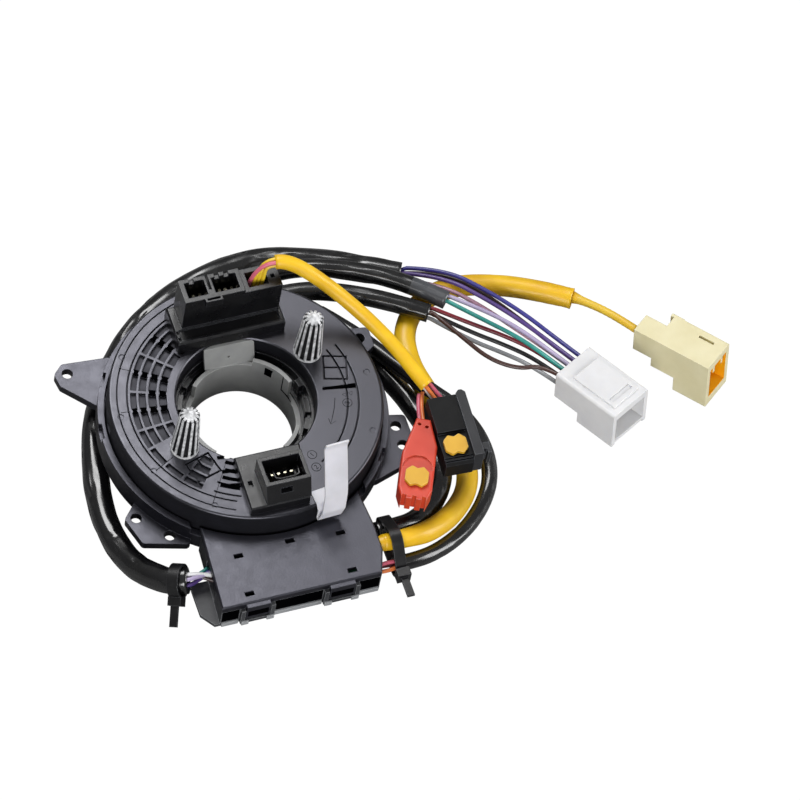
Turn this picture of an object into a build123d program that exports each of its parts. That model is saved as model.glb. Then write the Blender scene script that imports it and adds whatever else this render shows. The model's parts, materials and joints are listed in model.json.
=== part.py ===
"""Steering clock spring: a rotating cover with two sockets and a squib lead, on a
fixed cassette with a junction box and a harness that ends in two connectors.

Millimetres, +Z up along the bore. The origin is on the bore axis, at the lower end
of the hub sleeve. The junction box lies to -Y and the loose connectors to +X.
"""
from build123d import *
from math import atan2, cos, degrees, hypot, pi, radians, sin, tan
import os

# ---------------------------------------------------------------- driving sizes
floor_z = -9.5            # the surface that the part lies on
bore_radius = 19.5        # steering column passes through here
sleeve_wall = 1.5
running_gap = 0.3         # between the turning and the fixed pieces
skin = 2.0                # wall of the moulded shells

rotor_radius = 50.0
rotor_top = 27.0
cover_plate = 2.5         # thickness of the rotor's top plate
hole_radius = 25.5        # opening in the rotor's top plate
neck_bottom = 11.8        # lower end of the neck round that opening
skirt_bottom = 12.6       # lower end of the rotor's outer wall
pocket_depth = 1.3        # decorative and sink pockets in the top plate

cassette_lip_top = 17.0
cassette_gap = 0.6        # rotor wall to cassette wall
cassette_wall = 2.4
flange_top = 10.0
flange_thickness = 3.5
ear_hole_radius = 2.0
lower_ring_radius = 38.0
lower_ring_bore = 27.0

box_left = -32.0
box_right = 28.2
box_reach = 22.8          # cassette wall to the front of the junction box
box_height = 12.3
box_wall = 1.6
lid_thickness = 3.0
lid_gap = 0.9             # lid to the turning rotor

post_circle = 31.0        # drive posts stand on this radius
post_angle = 26.5
post_height = 24.5
post_base_radius = 5.2
post_top_radius = 3.7
post_ribs = 12

plinth_height = 6.0
switch_block_height = 17.0
horn_tray_height = 4.0
horn_block_height = 8.0
socket_wall = 1.4
pin_width = 1.0

# ------------------------------------------------------------- values that follow
flange_bottom = flange_top - flange_thickness
sleeve_outer = bore_radius + sleeve_wall
collar_bore = sleeve_outer + running_gap
neck_outer = hole_radius + skin
cassette_bore = rotor_radius + cassette_gap
cassette_radius = cassette_bore + cassette_wall
box_front = -cassette_radius - box_reach
box_top = cassette_lip_top
box_bottom = box_top - box_height
lid_bottom = box_top - lid_thickness
UP = (Align.CENTER, Align.CENTER, Align.MIN)
CORNER = (Align.MIN, Align.MIN, Align.MIN)

parts = {}


# ------------------------------------------------------------------ small helpers
def ring(outer, inner, low, high):
    """A tube about the bore axis between two heights."""
    tube = Cylinder(outer, high - low, align=UP) - Cylinder(inner, high - low, align=UP)
    return Pos(0, 0, low) * tube


def sector(inner, outer, start, end, low, high):
    """A block of a ring, between two angles in degrees."""
    near = CenterArc((0, 0), inner, start, end - start)
    far = CenterArc((0, 0), outer, start, end - start)
    face = make_face([near, far, Line(near @ 0, far @ 0), Line(near @ 1, far @ 1)])
    return Pos(0, 0, low) * extrude(face, high - low)


def slab(x0, x1, y0, y1, z0, z1):
    """A box between two corners."""
    return Pos(x0, y0, z0) * Box(x1 - x0, y1 - y0, z1 - z0, align=CORNER)


def plate(points, low, high, corner=0.0):
    """A flat plate with the given outline and rounded corners."""
    face = make_face(Polyline(*points, close=True))
    if corner:
        face = fillet(face.vertices(), corner)
    return Pos(0, 0, low) * extrude(face, high - low)


def drill(x, y, radius, low, high):
    """A round cutter."""
    return Pos(x, y, low) * Cylinder(radius, high - low, align=UP)


def polar(radius, angle):
    """A point in the plane, the angle in degrees."""
    return radius * cos(radians(angle)), radius * sin(radians(angle))


# ------------------------------------------------------------ the fixed cassette
ear_rim = 53.0            # the ears and their holes are given for a cassette of this radius
rim_ratio = cassette_radius / ear_rim
ears = [
    [(-38, 30), (-38, 38.6), (-56.4, 40.0), (-60.2, 36.4), (-59.4, 31.2), (-48, 19)],
    [(44, -6), (51, -9.6), (58.8, -11.4), (58.8, -24.0), (51.4, -31.8), (38, -36)],
    [(42, 30), (57.4, 27.6), (57.4, 19.6), (48, 14)],
    [(-42, -18), (-47.6, -22), (-53.2, -28), (-49.8, -39.2), (-33.4, -43.7), (-30, -36)],
]
ear_holes = {
    "left": (-55.4, 35.6),
    "right_rear": (54.2, -15.2),
    "right_front": (54.2, -23.4),
    "rear": (53.0, 23.8),
    "front_outer": (-49.0, -28.6),
    "front_inner": (-39.4, -38.5),
}


def flange_plate():
    """The round flange with its four ears, all at one level."""
    disc = ring(cassette_radius, collar_bore, flange_bottom, flange_top)
    for outline in ears:
        shape = [(x * rim_ratio, y * rim_ratio) for x, y in outline]
        disc += plate(shape, flange_bottom, flange_top, corner=1.6) - drill(
            0, 0, collar_bore + 1, flange_bottom, flange_top)
    return disc




collar_low = 1.0
shelf_left = box_left + 10.0
shelf_right = box_right - 10.2
shelf_front = box_front + 8.8
shelf_back = 9.0 - cassette_radius
shelf_web = 4.0
shelf_top = box_bottom - running_gap
shelf_bottom = shelf_top - skin
peg_inset = 4.0
peg_radius = 1.8
lip_notch_angles = (-34.0, 150.0, 174.0, 60.0)
lip_notch_width = 6.0
lip_notch_depth = 1.2
lip_notch_height = 3.2


def stator_housing():
    """Flange, outer wall, bearing collar and the pegged shelf that carries the junction box."""
    body = flange_plate()
    body += ring(cassette_radius, cassette_bore, flange_bottom, cassette_lip_top)
    body += ring(collar_bore + skin, collar_bore, collar_low, flange_top)
    body += slab(shelf_left, shelf_right, shelf_front, shelf_back, shelf_bottom, shelf_top)
    body += slab(shelf_left, shelf_right, shelf_back - shelf_web, shelf_back, shelf_bottom,
                 flange_bottom + 0.01)
    for x in (shelf_left + peg_inset, shelf_right - peg_inset):
        body += drill(x, shelf_front + peg_inset, peg_radius, shelf_top, box_bottom + box_wall)
    # The lid lies on the outer wall, which is lower there.
    body -= slab(box_left - 1, box_right + 5, box_front, box_front + 38.8, lid_bottom - 0.2,
                 cassette_lip_top + 1)
    for x, y in ear_holes.values():
        body -= drill(x * rim_ratio, y * rim_ratio, ear_hole_radius, flange_bottom - 1,
                      flange_top + 1)
    for angle in lip_notch_angles:
        x, y = polar(cassette_radius, angle)
        notch = Box(lip_notch_width, 2 * lip_notch_depth, lip_notch_height, align=UP)
        body -= Pos(x, y, cassette_lip_top - lip_notch_height) * Rot(0, 0, angle + 90) * notch
    return body


def bottom_cover():
    """The deep ring under the cassette that carries it on the surface below."""
    wall = ring(lower_ring_radius, lower_ring_radius - skin, floor_z, flange_bottom)
    wall += ring(lower_ring_bore + skin, lower_ring_bore, floor_z, flange_bottom)
    wall += ring(lower_ring_radius, lower_ring_bore, floor_z, floor_z + skin)
    for angle in range(0, 360, 45):
        web = slab(lower_ring_bore + skin / 2, lower_ring_radius - skin / 2, -skin / 2, skin / 2,
                   floor_z, flange_bottom)
        wall += Rot(0, 0, angle) * web
    return wall


# The box draws in towards the back, where it ends on the cassette's round wall.
box_outline = [
    (box_left, box_front), (box_right, box_front), (box_right + 3.2, box_front + 9.2),
    (box_right + 3.4, box_front + 19.4), (box_right + 2.0, box_front + 35.8),
    (box_left + 2.4, box_front + 35.8),
]
box_notch = 2.0           # harness openings in the side walls start this high
harness_exit_left = (box_front + 9.0, box_front + 22.0)
harness_exit_right = (box_front + 2.4, box_front + 24.2)
tray_back = cassette_radius + running_gap
tongue = [
    (box_left + 1.4, box_front), (box_left - 1.8, box_front), (box_left - 5.7, box_front + 5.2),
    (box_left - 5.7, box_front + 18.0), (box_left + 1.4, box_front + 18.0),
]
box_hooks = [
    (box_left + 8.7, box_left + 18.3), (box_right - 20.1, box_right - 9.9),
]
hook_depth = 1.6
board_low = box_bottom + 3.6
board_thickness = 1.6
board_left = box_left + 6.0
board_right = box_right - 6.2
board_front = box_front + 3.2
board_back = box_front + 18.8
lid_slots = [       # x, and distance behind the front of the box
    (-19.9, 19.4), (18.6, 19.4), (-20.7, 3.6), (18.0, 3.6), (-0.1, 20.8),
]


def box_section(back_radius, wall=0.0):
    """The box's outline, moved inwards by a wall and cut back to a circle about the bore."""
    face = make_face(Polyline(*box_outline, close=True))
    if wall:
        face = offset(face, -wall, kind=Kind.INTERSECTION)
    return face - Circle(back_radius + wall)


def junction_box_tray():
    """The open lower shell of the junction box, with its tongue, hooks and harness gaps."""
    body = Pos(0, 0, box_bottom) * extrude(box_section(tray_back), lid_bottom - box_bottom)
    hollow = Pos(0, 0, box_bottom + box_wall) * extrude(box_section(tray_back, box_wall),
                                                        box_height)
    body -= hollow
    for x, (y0, y1) in ((box_left, harness_exit_left), (box_right, harness_exit_right)):
        body -= slab(x - 4, x + 6, y0, y1, box_bottom + box_notch, lid_bottom)
    body += plate(tongue, box_bottom, box_bottom + box_wall) - Pos(0, 0, box_wall) * hollow
    front = box_front - hook_depth
    for x0, x1 in box_hooks:
        body += slab(x0 - 1.6, x0, front, box_front, box_bottom + 1, lid_bottom)
        body += slab(x1, x1 + 1.6, front, box_front, box_bottom + 1, lid_bottom)
        body += slab(x0 - 1.6, x1 + 1.6, front, box_front, box_bottom + 1, box_bottom + 2.6)
    for x in (board_left + 4, board_right - 4):
        body += drill(x, board_front + 2.4, 2.0, box_bottom + box_wall, board_low)
    for x in (shelf_left + peg_inset, shelf_right - peg_inset):
        body -= drill(x, shelf_front + peg_inset, peg_radius + running_gap, box_bottom - 1,
                      box_bottom + box_wall + 0.1)
    return body


def junction_box_lid():
    """The flat lid, with a skirted front edge, two latches and five small slots."""
    lid = Pos(0, 0, lid_bottom) * extrude(box_section(rotor_radius + lid_gap), lid_thickness)
    lid = chamfer(lid.faces().sort_by(Axis.Z)[-1].edges(), 0.5)
    under = Pos(0, 0, lid_bottom) * extrude(box_section(tray_back, box_wall), lid_thickness - 1.8)
    lid -= under
    for x, back in lid_slots:
        y = box_front + back
        lid -= slab(x - 1.7, x + 1.7, y - 0.9, y + 0.9, lid_bottom, box_top + 1)
    for x0, x1 in box_hooks:
        front = box_front - hook_depth
        lid += slab(x0 + 0.4, x1 - 0.4, front, box_front, box_bottom + 4.2, lid_bottom)
        lid += slab(x0 + 0.4, x1 - 0.4, front, box_front + 0.6, lid_bottom, box_top - 0.8)
    return lid


def terminal_board():
    """The small board in the box where the ribbon's conductors meet the harness wires."""
    return slab(board_left, board_right, board_front, board_back, board_low,
                board_low + board_thickness)


ribbon_inner = neck_outer + 2.7
ribbon_outer = rotor_radius - 6.4
ribbon_turns = 5
ribbon_thickness = 0.5
ribbon_height = 12.6
cavity_floor = flange_top
terminal_height = 11.0


def ribbon_cable():
    """The flat cable, wound as a loose spiral of half turns on the cassette floor."""
    halves = 2 * ribbon_turns
    step = (ribbon_outer - ribbon_inner) / halves
    arcs = []
    for half in range(halves):
        odd = half % 2
        arcs.append(CenterArc((odd * step, 0), ribbon_inner + half * step, 180 * odd, 180))
    band = Wire(arcs)
    face = trace(band, ribbon_thickness)
    return Pos(0, 0, cavity_floor + running_gap) * extrude(face, ribbon_height)


def outer_terminal_block():
    """The fixed end of the ribbon, standing on the cassette floor."""
    return sector(ribbon_outer + 1.0, rotor_radius - skin - 0.5, 255, 285, cavity_floor,
                  cavity_floor + terminal_height)


def inner_terminal_block():
    """The turning end of the ribbon, on the outside of the rotor's neck."""
    return sector(neck_outer, ribbon_inner - 1.0, 60, 100, neck_bottom + 1.0,
                  neck_bottom + 1.0 + terminal_height)


# ------------------------------------------------------------------- the rotor
pocket_rings = [(28.8, 31.6), (32.6, 35.4), (36.4, 38.9), (39.8, 41.9)]
pocket_start = 104.0
pocket_pitch = 11.5
pocket_count = 11
pocket_rib = 1.1
groove_rings = [(42.9, 43.4), (46.6, 47.0)]
clip_window_angles = (-34.0, 150.0, 174.0)


post_left = polar(post_circle, 180 + post_angle)
post_right = polar(post_circle, post_angle)


def top_details():
    """Everything that is sunk into the rotor's top plate, as one list of cutters."""
    low = rotor_top - pocket_depth
    high = rotor_top + 1
    cutters = []
    for inner, outer in pocket_rings:
        rib = degrees(pocket_rib / ((inner + outer) / 2))
        for index in range(pocket_count):
            start = pocket_start + index * pocket_pitch
            x, y = polar((inner + outer) / 2, start + pocket_pitch / 2)
            if hypot(x - post_left[0], y - post_left[1]) > post_base_radius + 3.4:
                cutters.append(sector(inner, outer, start + rib / 2, start + pocket_pitch - rib / 2,
                                      low, high))
    for inner, outer in groove_rings:
        cutters.append(sector(inner, outer, 100, 248, low, high))
    for inner, outer in ((36.6, 37.2), (40.6, 41.2)):
        cutters.append(sector(inner, outer, 236, 250, low, high))
        cutters.append(sector(inner, outer, -60, 20, low, high))
    frames = [((-23.7, -23.6), 16.0), ((35.4, 4.6), 75.0)]
    for (x, y), turn in frames:
        frame = Box(10.2, 9.0, 2, align=UP) - Box(9.0, 7.8, 2, align=UP)
        divider = Box(0.6, 7.8, 2, align=UP)
        cutters.append(Pos(x, y, low) * Rot(0, 0, turn) * (frame + divider))
    for y in (-21.4, -27.4, -33.4):
        cutters.append(Pos(-15.4, y, low - 0.6) * Rot(0, 0, -8) * Box(4.6, 1.4, 3, align=UP))
    x, y = (28.6 + 40.0) / 2, -3.8
    cutters.append(Pos(x, y, low) * Rot(0, 0, -10) * Box(12.0, 1.2, 2, align=UP))
    for x, y in ((-38.4, 27.9), (-46.2, 3.9), (-41.3, -20.6), (-24.4, -39.6), (46.0, 0.1),
                 (40.5, -24.0)):
        cutters.append(drill(x, y, 1.1, rotor_top - 0.3, high))
    return cutters


def rotor_cover():
    """The turning top: plate, outer wall and neck, with its pockets and clip windows."""
    outline = Polyline(
        (hole_radius, neck_bottom), (neck_outer, neck_bottom),
        (neck_outer, rotor_top - cover_plate), (rotor_radius - skin, rotor_top - cover_plate),
        (rotor_radius - skin, skirt_bottom), (rotor_radius, skirt_bottom),
        (rotor_radius, rotor_top), (hole_radius, rotor_top), close=True)
    profile = make_face(Plane.XZ * outline)
    body = revolve(profile, Axis.Z)
    rims = body.edges().filter_by(GeomType.CIRCLE).filter_by_position(
        Axis.Z, rotor_top - 0.01, rotor_top + 0.01)
    body = fillet(rims.sort_by(SortBy.RADIUS)[-1], 1.0)
    body = chamfer(body.edges().filter_by(GeomType.CIRCLE).filter_by_position(
        Axis.Z, rotor_top - 0.01, rotor_top + 0.01).sort_by(SortBy.RADIUS)[0], 0.5)
    for angle in clip_window_angles:
        x, y = polar(rotor_radius, angle)
        window = Box(4.2, 2.0, 2.6, align=UP)
        body -= Pos(x, y, cassette_lip_top + 0.6) * Rot(0, 0, angle + 90) * window
    body -= Compound(top_details())
    return body


sleeve_tabs = [
    # radius of the inner face, angles, top
    (bore_radius, 17.0, 64.0, 21.5),
    (bore_radius, 64.0, 112.0, 18.6),
    (bore_radius, 112.0, 136.0, 19.0),
    (bore_radius, 196.0, 222.0, 17.5),
    (bore_radius, 300.0, 330.0, 17.5),
]
web_ends = (-8.6, 10.4)
web_profile = [
    (bore_radius, 18.0), (sleeve_outer, 18.0), (hole_radius - 0.3, 26.6), (hole_radius - 2.1, 26.6),
]
sleeve_flange_top = neck_bottom
sleeve_flange_bottom = flange_top + running_gap


def hub_sleeve():
    """The grey inner sleeve: bore wall, flange, tabs of several heights and a sloping web."""
    body = ring(sleeve_outer, bore_radius, 0, sleeve_flange_top)
    body += ring(neck_outer, bore_radius, sleeve_flange_bottom, sleeve_flange_top)
    for inner, start, end, top in sleeve_tabs:
        body += sector(inner, inner + sleeve_wall, start, end, sleeve_flange_bottom, top)
    x, y = polar(bore_radius, 44.0)
    window = Pos(x, y, 16.6) * Rot(0, 0, 134.0) * Box(3.0, 6.0, 3.2, align=UP)
    left, right = web_ends
    face = make_face(Plane.YZ * Polyline(*web_profile, close=True))
    web = Pos(left, 0, 0) * extrude(face, right - left, dir=(1, 0, 0))
    body += web & Cylinder(hole_radius - 0.2, rotor_top, align=UP)
    pin_hole = Pos(0.6, 21.0, 22.0) * Rot(90, 0, 0) * Cylinder(0.5, 6.0)
    return body - window - pin_hole


def drive_post(place):
    """One ribbed, tapered drive post with a blunt cone on top."""
    cone_height = 2.6
    shaft = post_height - cone_height
    core = Cone(post_base_radius - 0.9, post_top_radius - 0.9, shaft, align=UP)
    core += Pos(0, 0, shaft) * Cone(post_top_radius - 0.9, 0.7, cone_height, align=UP)
    core += Cylinder(post_base_radius, 1.0, align=UP)
    lean = degrees(atan2(post_base_radius - post_top_radius, shaft))
    for index in range(post_ribs):
        rib = Polyline((0, 0), (post_base_radius, 0), (post_top_radius, shaft),
                       (post_top_radius - 1.2, shaft + 0.9), (0, shaft + 0.9), close=True)
        fin = extrude(make_face(Plane.XZ * rib), 0.45, both=True)
        core += Rot(0, 0, index * 360 / post_ribs) * fin
    return Pos(place[0], place[1], rotor_top) * core


plinth_top = rotor_top + plinth_height
plinth = (-18.4, 22.3, 24.4, 40.6)
switch_block = (-15.4, 21.6, 30.8, 40.6)
switch_top = plinth_top + switch_block_height
switch_cavities = [(-13.6, -6.2), (-3.4, 5.8)]
switch_cavity_y = (32.6, 39.0)
switch_cavity_floor = plinth_top + 3.0
wire_well = (9.4, 17.0, 32.6, 38.8)
wire_well_depth = 6.0


def switch_socket_housing():
    """The tall two-cavity socket on its plinth, with the well the squib wires come out of."""
    x0, x1, y0, y1 = plinth
    base = slab(x0, x1, y0, y1, rotor_top, plinth_top)
    base = chamfer(base.faces().sort_by(Axis.Z)[-1].edges(), 0.6)
    base -= slab(x0 + 1.6, x1 - 1.6, y0 + 1.4, switch_block[2] - 0.6, plinth_top - 0.8,
                 plinth_top + 1)
    x0, x1, y0, y1 = switch_block
    block = slab(x0, x1, y0, y1, plinth_top, switch_top)
    block -= slab(7.4, x1 + 1, y0 - 1, y1 + 1, switch_top - 1.6, switch_top + 1)
    body = base + block
    for start, end in switch_cavities:
        body -= slab(start, end, *switch_cavity_y, switch_cavity_floor, switch_top + 1)
    start, end = switch_cavities[0][1] + 0.9, switch_cavities[1][0] - 0.9
    body -= slab(start, end, 34.4, switch_block[3] + 1, switch_top - 7, switch_top + 1)
    wx0, wx1, wy0, wy1 = wire_well
    body -= slab(wx0, wx1, wy0, wy1, switch_top - 1.6 - wire_well_depth, switch_top + 1)
    body -= slab(18.4, 19.9, 34.6, 36.1, switch_top - 5, switch_top + 1)
    latch = slab(-8.0, -1.6, y0 - 1.5, y0, switch_top - 3.4, switch_top)
    latch -= slab(-7.2, -2.4, y0 - 0.8, y0, switch_top - 4, switch_top + 1)
    body += latch
    for x in (-10.6, -1.0, 2.6):
        body -= slab(x - 0.9, x + 0.9, y1 - 2.4, y1 + 1, switch_top - 1.6, switch_top + 1)
    for y in (26.4, 29.2):
        body -= slab(plinth[0] + 0.5, plinth[0] + 2.0, y - 0.7, y + 0.7, plinth_top - 1.2,
                     plinth_top + 1)
    return body


pin_rise = 7.0


def switch_socket_pins():
    """Two rows of square pins in each of the two cavities."""
    pins = []
    for start, end in switch_cavities:
        count = max(2, int((end - start) // 2.2))
        for column in range(count):
            x = start + (end - start) * (column + 0.5) / count
            for y in (34.4, 37.2):
                pins.append(Pos(x, y, switch_cavity_floor) * Box(pin_width, pin_width, pin_rise,
                                                                 align=UP))
    return Compound(pins)


tray_top = rotor_top + horn_tray_height
horn_top = tray_top + horn_block_height
horn_back = 0.9 - hole_radius
horn_front = 3.1 - rotor_radius
horn_tray = [
    (-12.9, horn_back), (11.8, horn_back), (10.6, horn_front + 6.9), (9.4, horn_front + 3.5),
    (9.0, horn_front), (-13.4, horn_front),
]
horn_block = (-7.4, 9.4, horn_front + 3.5, horn_front + 15.3)
horn_floor = rotor_top + 2.0
horn_pin_xs = (-2.6, -0.2, 2.2, 4.6)
horn_pin_y = horn_front + 10.3


def horn_socket_housing():
    """The low tray at the front edge, with one open socket and its U-shaped guide."""
    body = plate(horn_tray, rotor_top, tray_top)
    body = chamfer(body.faces().sort_by(Axis.Z)[-1].edges(), 0.5)
    x0, x1, y0, y1 = horn_block
    profile = Polyline((y0, horn_top), (y1, horn_top), (y1, tray_top), (y0 - 3.2, tray_top),
                       close=True)
    block = Pos(x0, 0, 0) * extrude(make_face(Plane.YZ * profile), x1 - x0, dir=(1, 0, 0))
    body += block
    body -= slab(x0 + socket_wall, x1 - socket_wall, y0 + socket_wall, y1 - socket_wall,
                 horn_floor, horn_top + 1)
    guide = Box(12.0, 6.4, 3.4, align=UP) - Pos(0, 1.3, 0) * Box(9.6, 5.0, 3.4, align=UP)
    body += Pos((x0 + x1) / 2, y0 + 5.6, horn_floor) * guide
    body -= slab(-11.2, -9.6, y0 + 5.6, y0 + 8.0, tray_top - 1.6, tray_top + 1)
    body -= slab(-2.0, 2.4, y0 - 3.4, y0 + 0.4, horn_top - 4.4, horn_top - 2.0)
    return body


def horn_socket_pins():
    """Four flat pins inside the horn socket."""
    pins = [Pos(x, horn_pin_y, horn_floor) * Box(pin_width, 0.7, 5.0, align=UP)
            for x in horn_pin_xs]
    return Compound(pins)


strip_width = 9.0
strip_thickness = 0.6
strip_crease = polar(rotor_radius + 1.6, -72.4)
strip_crease_z = 20.2
strip_heading = -84.0     # the foot points outwards this way
strip_slant = 6.5         # the standing leg leans along the rim by this angle


def lock_strip():
    """The folded white strip that holds the rotor centred until it is fitted."""
    rise = rotor_top - strip_crease_z + strip_thickness / 2 + 0.05
    foot = FilletPolyline((-6.4, rise), (-1.0, rise), (0.6, rise - 1.8), (0.6, 0.4), (1.6, 0.1),
                          radius=[0.8, 0.8, 0.4])
    standing = FilletPolyline((0.6, 0.4), (1.7, 0.1), (2.8, 6.0), (1.0, 14.0), (-5.0, 25.0),
                              (-8.4, 31.0), (-8.2, 34.0), radius=[0.4, 4.0, 12.0, 20.0, 2.0])
    legs = []
    for line in (foot, standing):
        face = Plane.XZ * trace(line, strip_thickness)
        legs.append(extrude(face, strip_width / 2, both=True))
    strip = legs[0] + Rot(-strip_slant, 0, 0) * legs[1]
    x, y = strip_crease
    return Pos(x, y, strip_crease_z) * Rot(0, 0, strip_heading) * strip


# ------------------------------------------------------- cords, plugs, connectors
def cord_radii(points):
    """The largest even arc at each corner of a route: 0.45 of its shorter run."""
    radii = []
    for before, here, after in zip(points, points[1:], points[2:]):
        one = Vector(*here) - Vector(*before)
        two = Vector(*after) - Vector(*here)
        turn = radians(one.get_angle(two))
        radii.append(0.45 * min(one.length, two.length) / tan(turn / 2))
    return radii


def above_floor(route):
    """A route given as x, y and height above the surface, in the part's own frame."""
    return [(x, y, floor_z + height) for x, y, height in route]


def cord(name, route, diameter):
    """A round tube along straight runs joined by tangent arcs."""
    radii = cord_radii(route)
    path = FilletPolyline(*route, radius=radii)
    section = Plane(origin=path @ 0, z_dir=path % 0) * Circle(diameter / 2)
    tube = sweep(section, path=path)
    share = tube.volume / (pi * diameter ** 2 / 4 * path.length)
    print(f"{name}: length {path.length:.0f}, smallest radius {min(radii):.1f} "
          f"({min(radii) / diameter:.1f} d), volume share {share:.3f}")
    return tube


harness_cords = {
    # name: (diameter, route as x, y, height)
    "left_harness_tube": (10.0, [
        (-32.6, -60.2, 21.8), (-42.0, -58.4, 20.8), (-49.5, -50.8, 14.8), (-54.3, -39.6, 9.0),
        (-56.8, -26.2, 5.8), (-56.4, -11.0, 5.1), (-53.6, 4.0, 5.1), (-48.8, 19.4, 5.1),
        (-40.2, 35.4, 5.1), (-27.6, 51.0, 5.1), (-10.6, 63.4, 5.1), (9.4, 71.0, 5.1),
        (29.4, 73.4, 5.1), (48.6, 69.0, 5.1), (65.6, 61.6, 5.1), (81.4, 53.4, 5.4)]),
    "upper_harness_tube": (7.0, [
        (-5.0, 55.0, 4.0), (9.6, 60.2, 5.4), (26.0, 64.2, 9.6), (44.4, 62.6, 12.4),
        (62.0, 56.4, 12.6), (78.6, 47.2, 12.8), (92.6, 35.0, 11.8)]),
    "middle_harness_tube": (7.0, [
        (14.0, 50.0, 9.0), (27.0, 52.8, 12.0), (41.4, 52.8, 12.4), (56.4, 47.8, 12.2),
        (71.4, 40.0, 12.4), (84.6, 31.4, 11.8)]),
    "inner_harness_tube": (8.0, [
        (32.8, -55.6, 18.6), (45.0, -54.9, 16.8), (54.8, -49.2, 12.0), (63.5, -40.6, 7.6),
        (69.8, -28.8, 4.4), (70.4, -14.6, 4.1), (67.2, 0.6, 4.1), (61.8, 15.4, 4.1),
        (54.4, 29.8, 4.1), (44.4, 42.8, 4.1), (33.2, 53.0, 4.1)]),
    "outer_harness_tube": (6.0, [
        (32.8, -69.2, 17.6), (45.0, -68.8, 15.8), (56.4, -64.6, 12.2), (68.3, -57.3, 8.0),
        (79.1, -47.2, 4.6), (86.4, -35.6, 4.2), (87.0, -22.6, 7.6), (81.0, -9.6, 11.8),
        (71.6, 3.0, 12.0), (62.6, 17.2, 12.0), (53.6, 31.2, 12.0), (43.6, 43.0, 11.6)]),
    "airbag_trunk_tube": (8.0, [
        (32.8, -62.6, 23.2), (45.0, -62.2, 21.4), (56.6, -58.0, 17.0), (68.0, -49.0, 10.6),
        (76.7, -37.6, 5.4), (79.8, -24.2, 4.1), (78.4, -10.4, 4.1), (75.0, 2.8, 4.1),
        (72.0, 16.8, 4.1), (74.0, 31.2, 4.1), (83.4, 41.8, 4.1), (97.6, 45.8, 4.1),
        (113.4, 42.4, 4.2), (128.6, 35.4, 5.0), (140.4, 27.4, 6.4)]),
    "airbag_taped_lead": (5.0, [
        (141.6, 26.2, 7.4), (145.6, 21.0, 9.8), (151.4, 11.6, 13.2), (156.1, 3.8, 14.6)]),
}

fan_wire = 1.6
fan_wires = {
    "fan_wire_grey": [
        (84.2, 30.2, 10.4), (95.4, 20.4, 7.4), (106.6, 12.6, 5.6), (115.8, 4.4, 5.4),
        (122.6, -7.0, 7.2)],
    "fan_wire_black": [
        (85.4, 32.0, 10.4), (96.6, 23.0, 8.2), (108.4, 15.4, 6.0), (118.4, 6.6, 5.2),
        (125.3, -5.5, 7.0)],
    "fan_wire_red": [
        (86.0, 32.6, 12.8), (97.8, 25.2, 9.8), (110.6, 18.0, 6.4), (121.0, 8.6, 5.2),
        (128.0, -4.1, 6.9)],
    "fan_wire_brown": [
        (84.8, 30.4, 13.6), (91.6, 18.6, 13.6), (99.0, 8.0, 11.4), (108.8, 1.6, 10.4),
        (117.2, 0.8, 11.0), (122.5, -6.2, 12.1)],
    "fan_wire_teal": [
        (92.2, 34.2, 12.8), (102.4, 23.4, 13.0), (112.2, 14.6, 11.6), (119.0, 6.6, 10.4),
        (125.2, -4.8, 12.0)],
    "fan_wire_lavender": [
        (93.8, 36.0, 12.8), (104.4, 26.6, 13.4), (114.0, 17.6, 11.8), (121.4, 8.4, 10.2),
        (127.8, -3.4, 11.9)],
    "fan_wire_purple": [
        (81.8, 53.0, 7.8), (93.6, 45.2, 13.0), (105.6, 32.4, 13.0), (116.0, 20.4, 11.8),
        (124.0, 10.0, 10.0), (130.5, -2.0, 11.7)],
    "fan_wire_blue": [
        (83.0, 55.2, 7.6), (95.2, 48.4, 12.6), (108.0, 35.2, 12.6), (118.6, 22.8, 11.4),
        (126.6, 11.4, 9.8), (133.1, -0.6, 11.6)],
    "fan_wire_pink": [
        (81.4, 52.2, 4.8), (92.6, 43.4, 10.4), (104.6, 31.0, 9.8), (115.2, 19.4, 6.8),
        (123.8, 9.6, 4.8), (130.6, -2.7, 6.8)],
    "fan_wire_dark_brown": [
        (83.0, 55.0, 4.4), (95.4, 48.6, 9.8), (107.8, 36.0, 9.4), (118.6, 22.4, 6.6),
        (126.6, 11.0, 4.7), (133.3, -1.3, 6.7)],
}


def rested(shell, pins):
    """A connector's shell and pins, moved together until the shell stands on the surface."""
    drop = floor_z - shell.bounding_box().min.Z
    return Pos(0, 0, drop) * shell, Pos(0, 0, drop) * pins


white_place = (128.3, -5.5)
white_turn = (-61.5, -8.0, -2.5)      # heading, pitch and roll in degrees
white_size = (28.6, 18.8, 17.6)
white_step = (11.5, 5.0)              # the rear of the shell is this long and starts this high
white_mouth = (13.0, 2.6, 14.4)       # depth, floor and roof of the mouth
white_mouth_width = 15.4


def turned(place, turn, solid):
    """A connector in its own frame, set down at its place and heading."""
    heading, pitch, roll = turn
    upright = Rot(0, pitch, 0) * Rot(roll, 0, 0) * solid
    return Pos(place[0], place[1], 0) * Rot(0, 0, heading) * upright


fan_columns = 5
fan_spread = 3.0
fan_row_low = 8.2
fan_row_gap = 5.0


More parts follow.
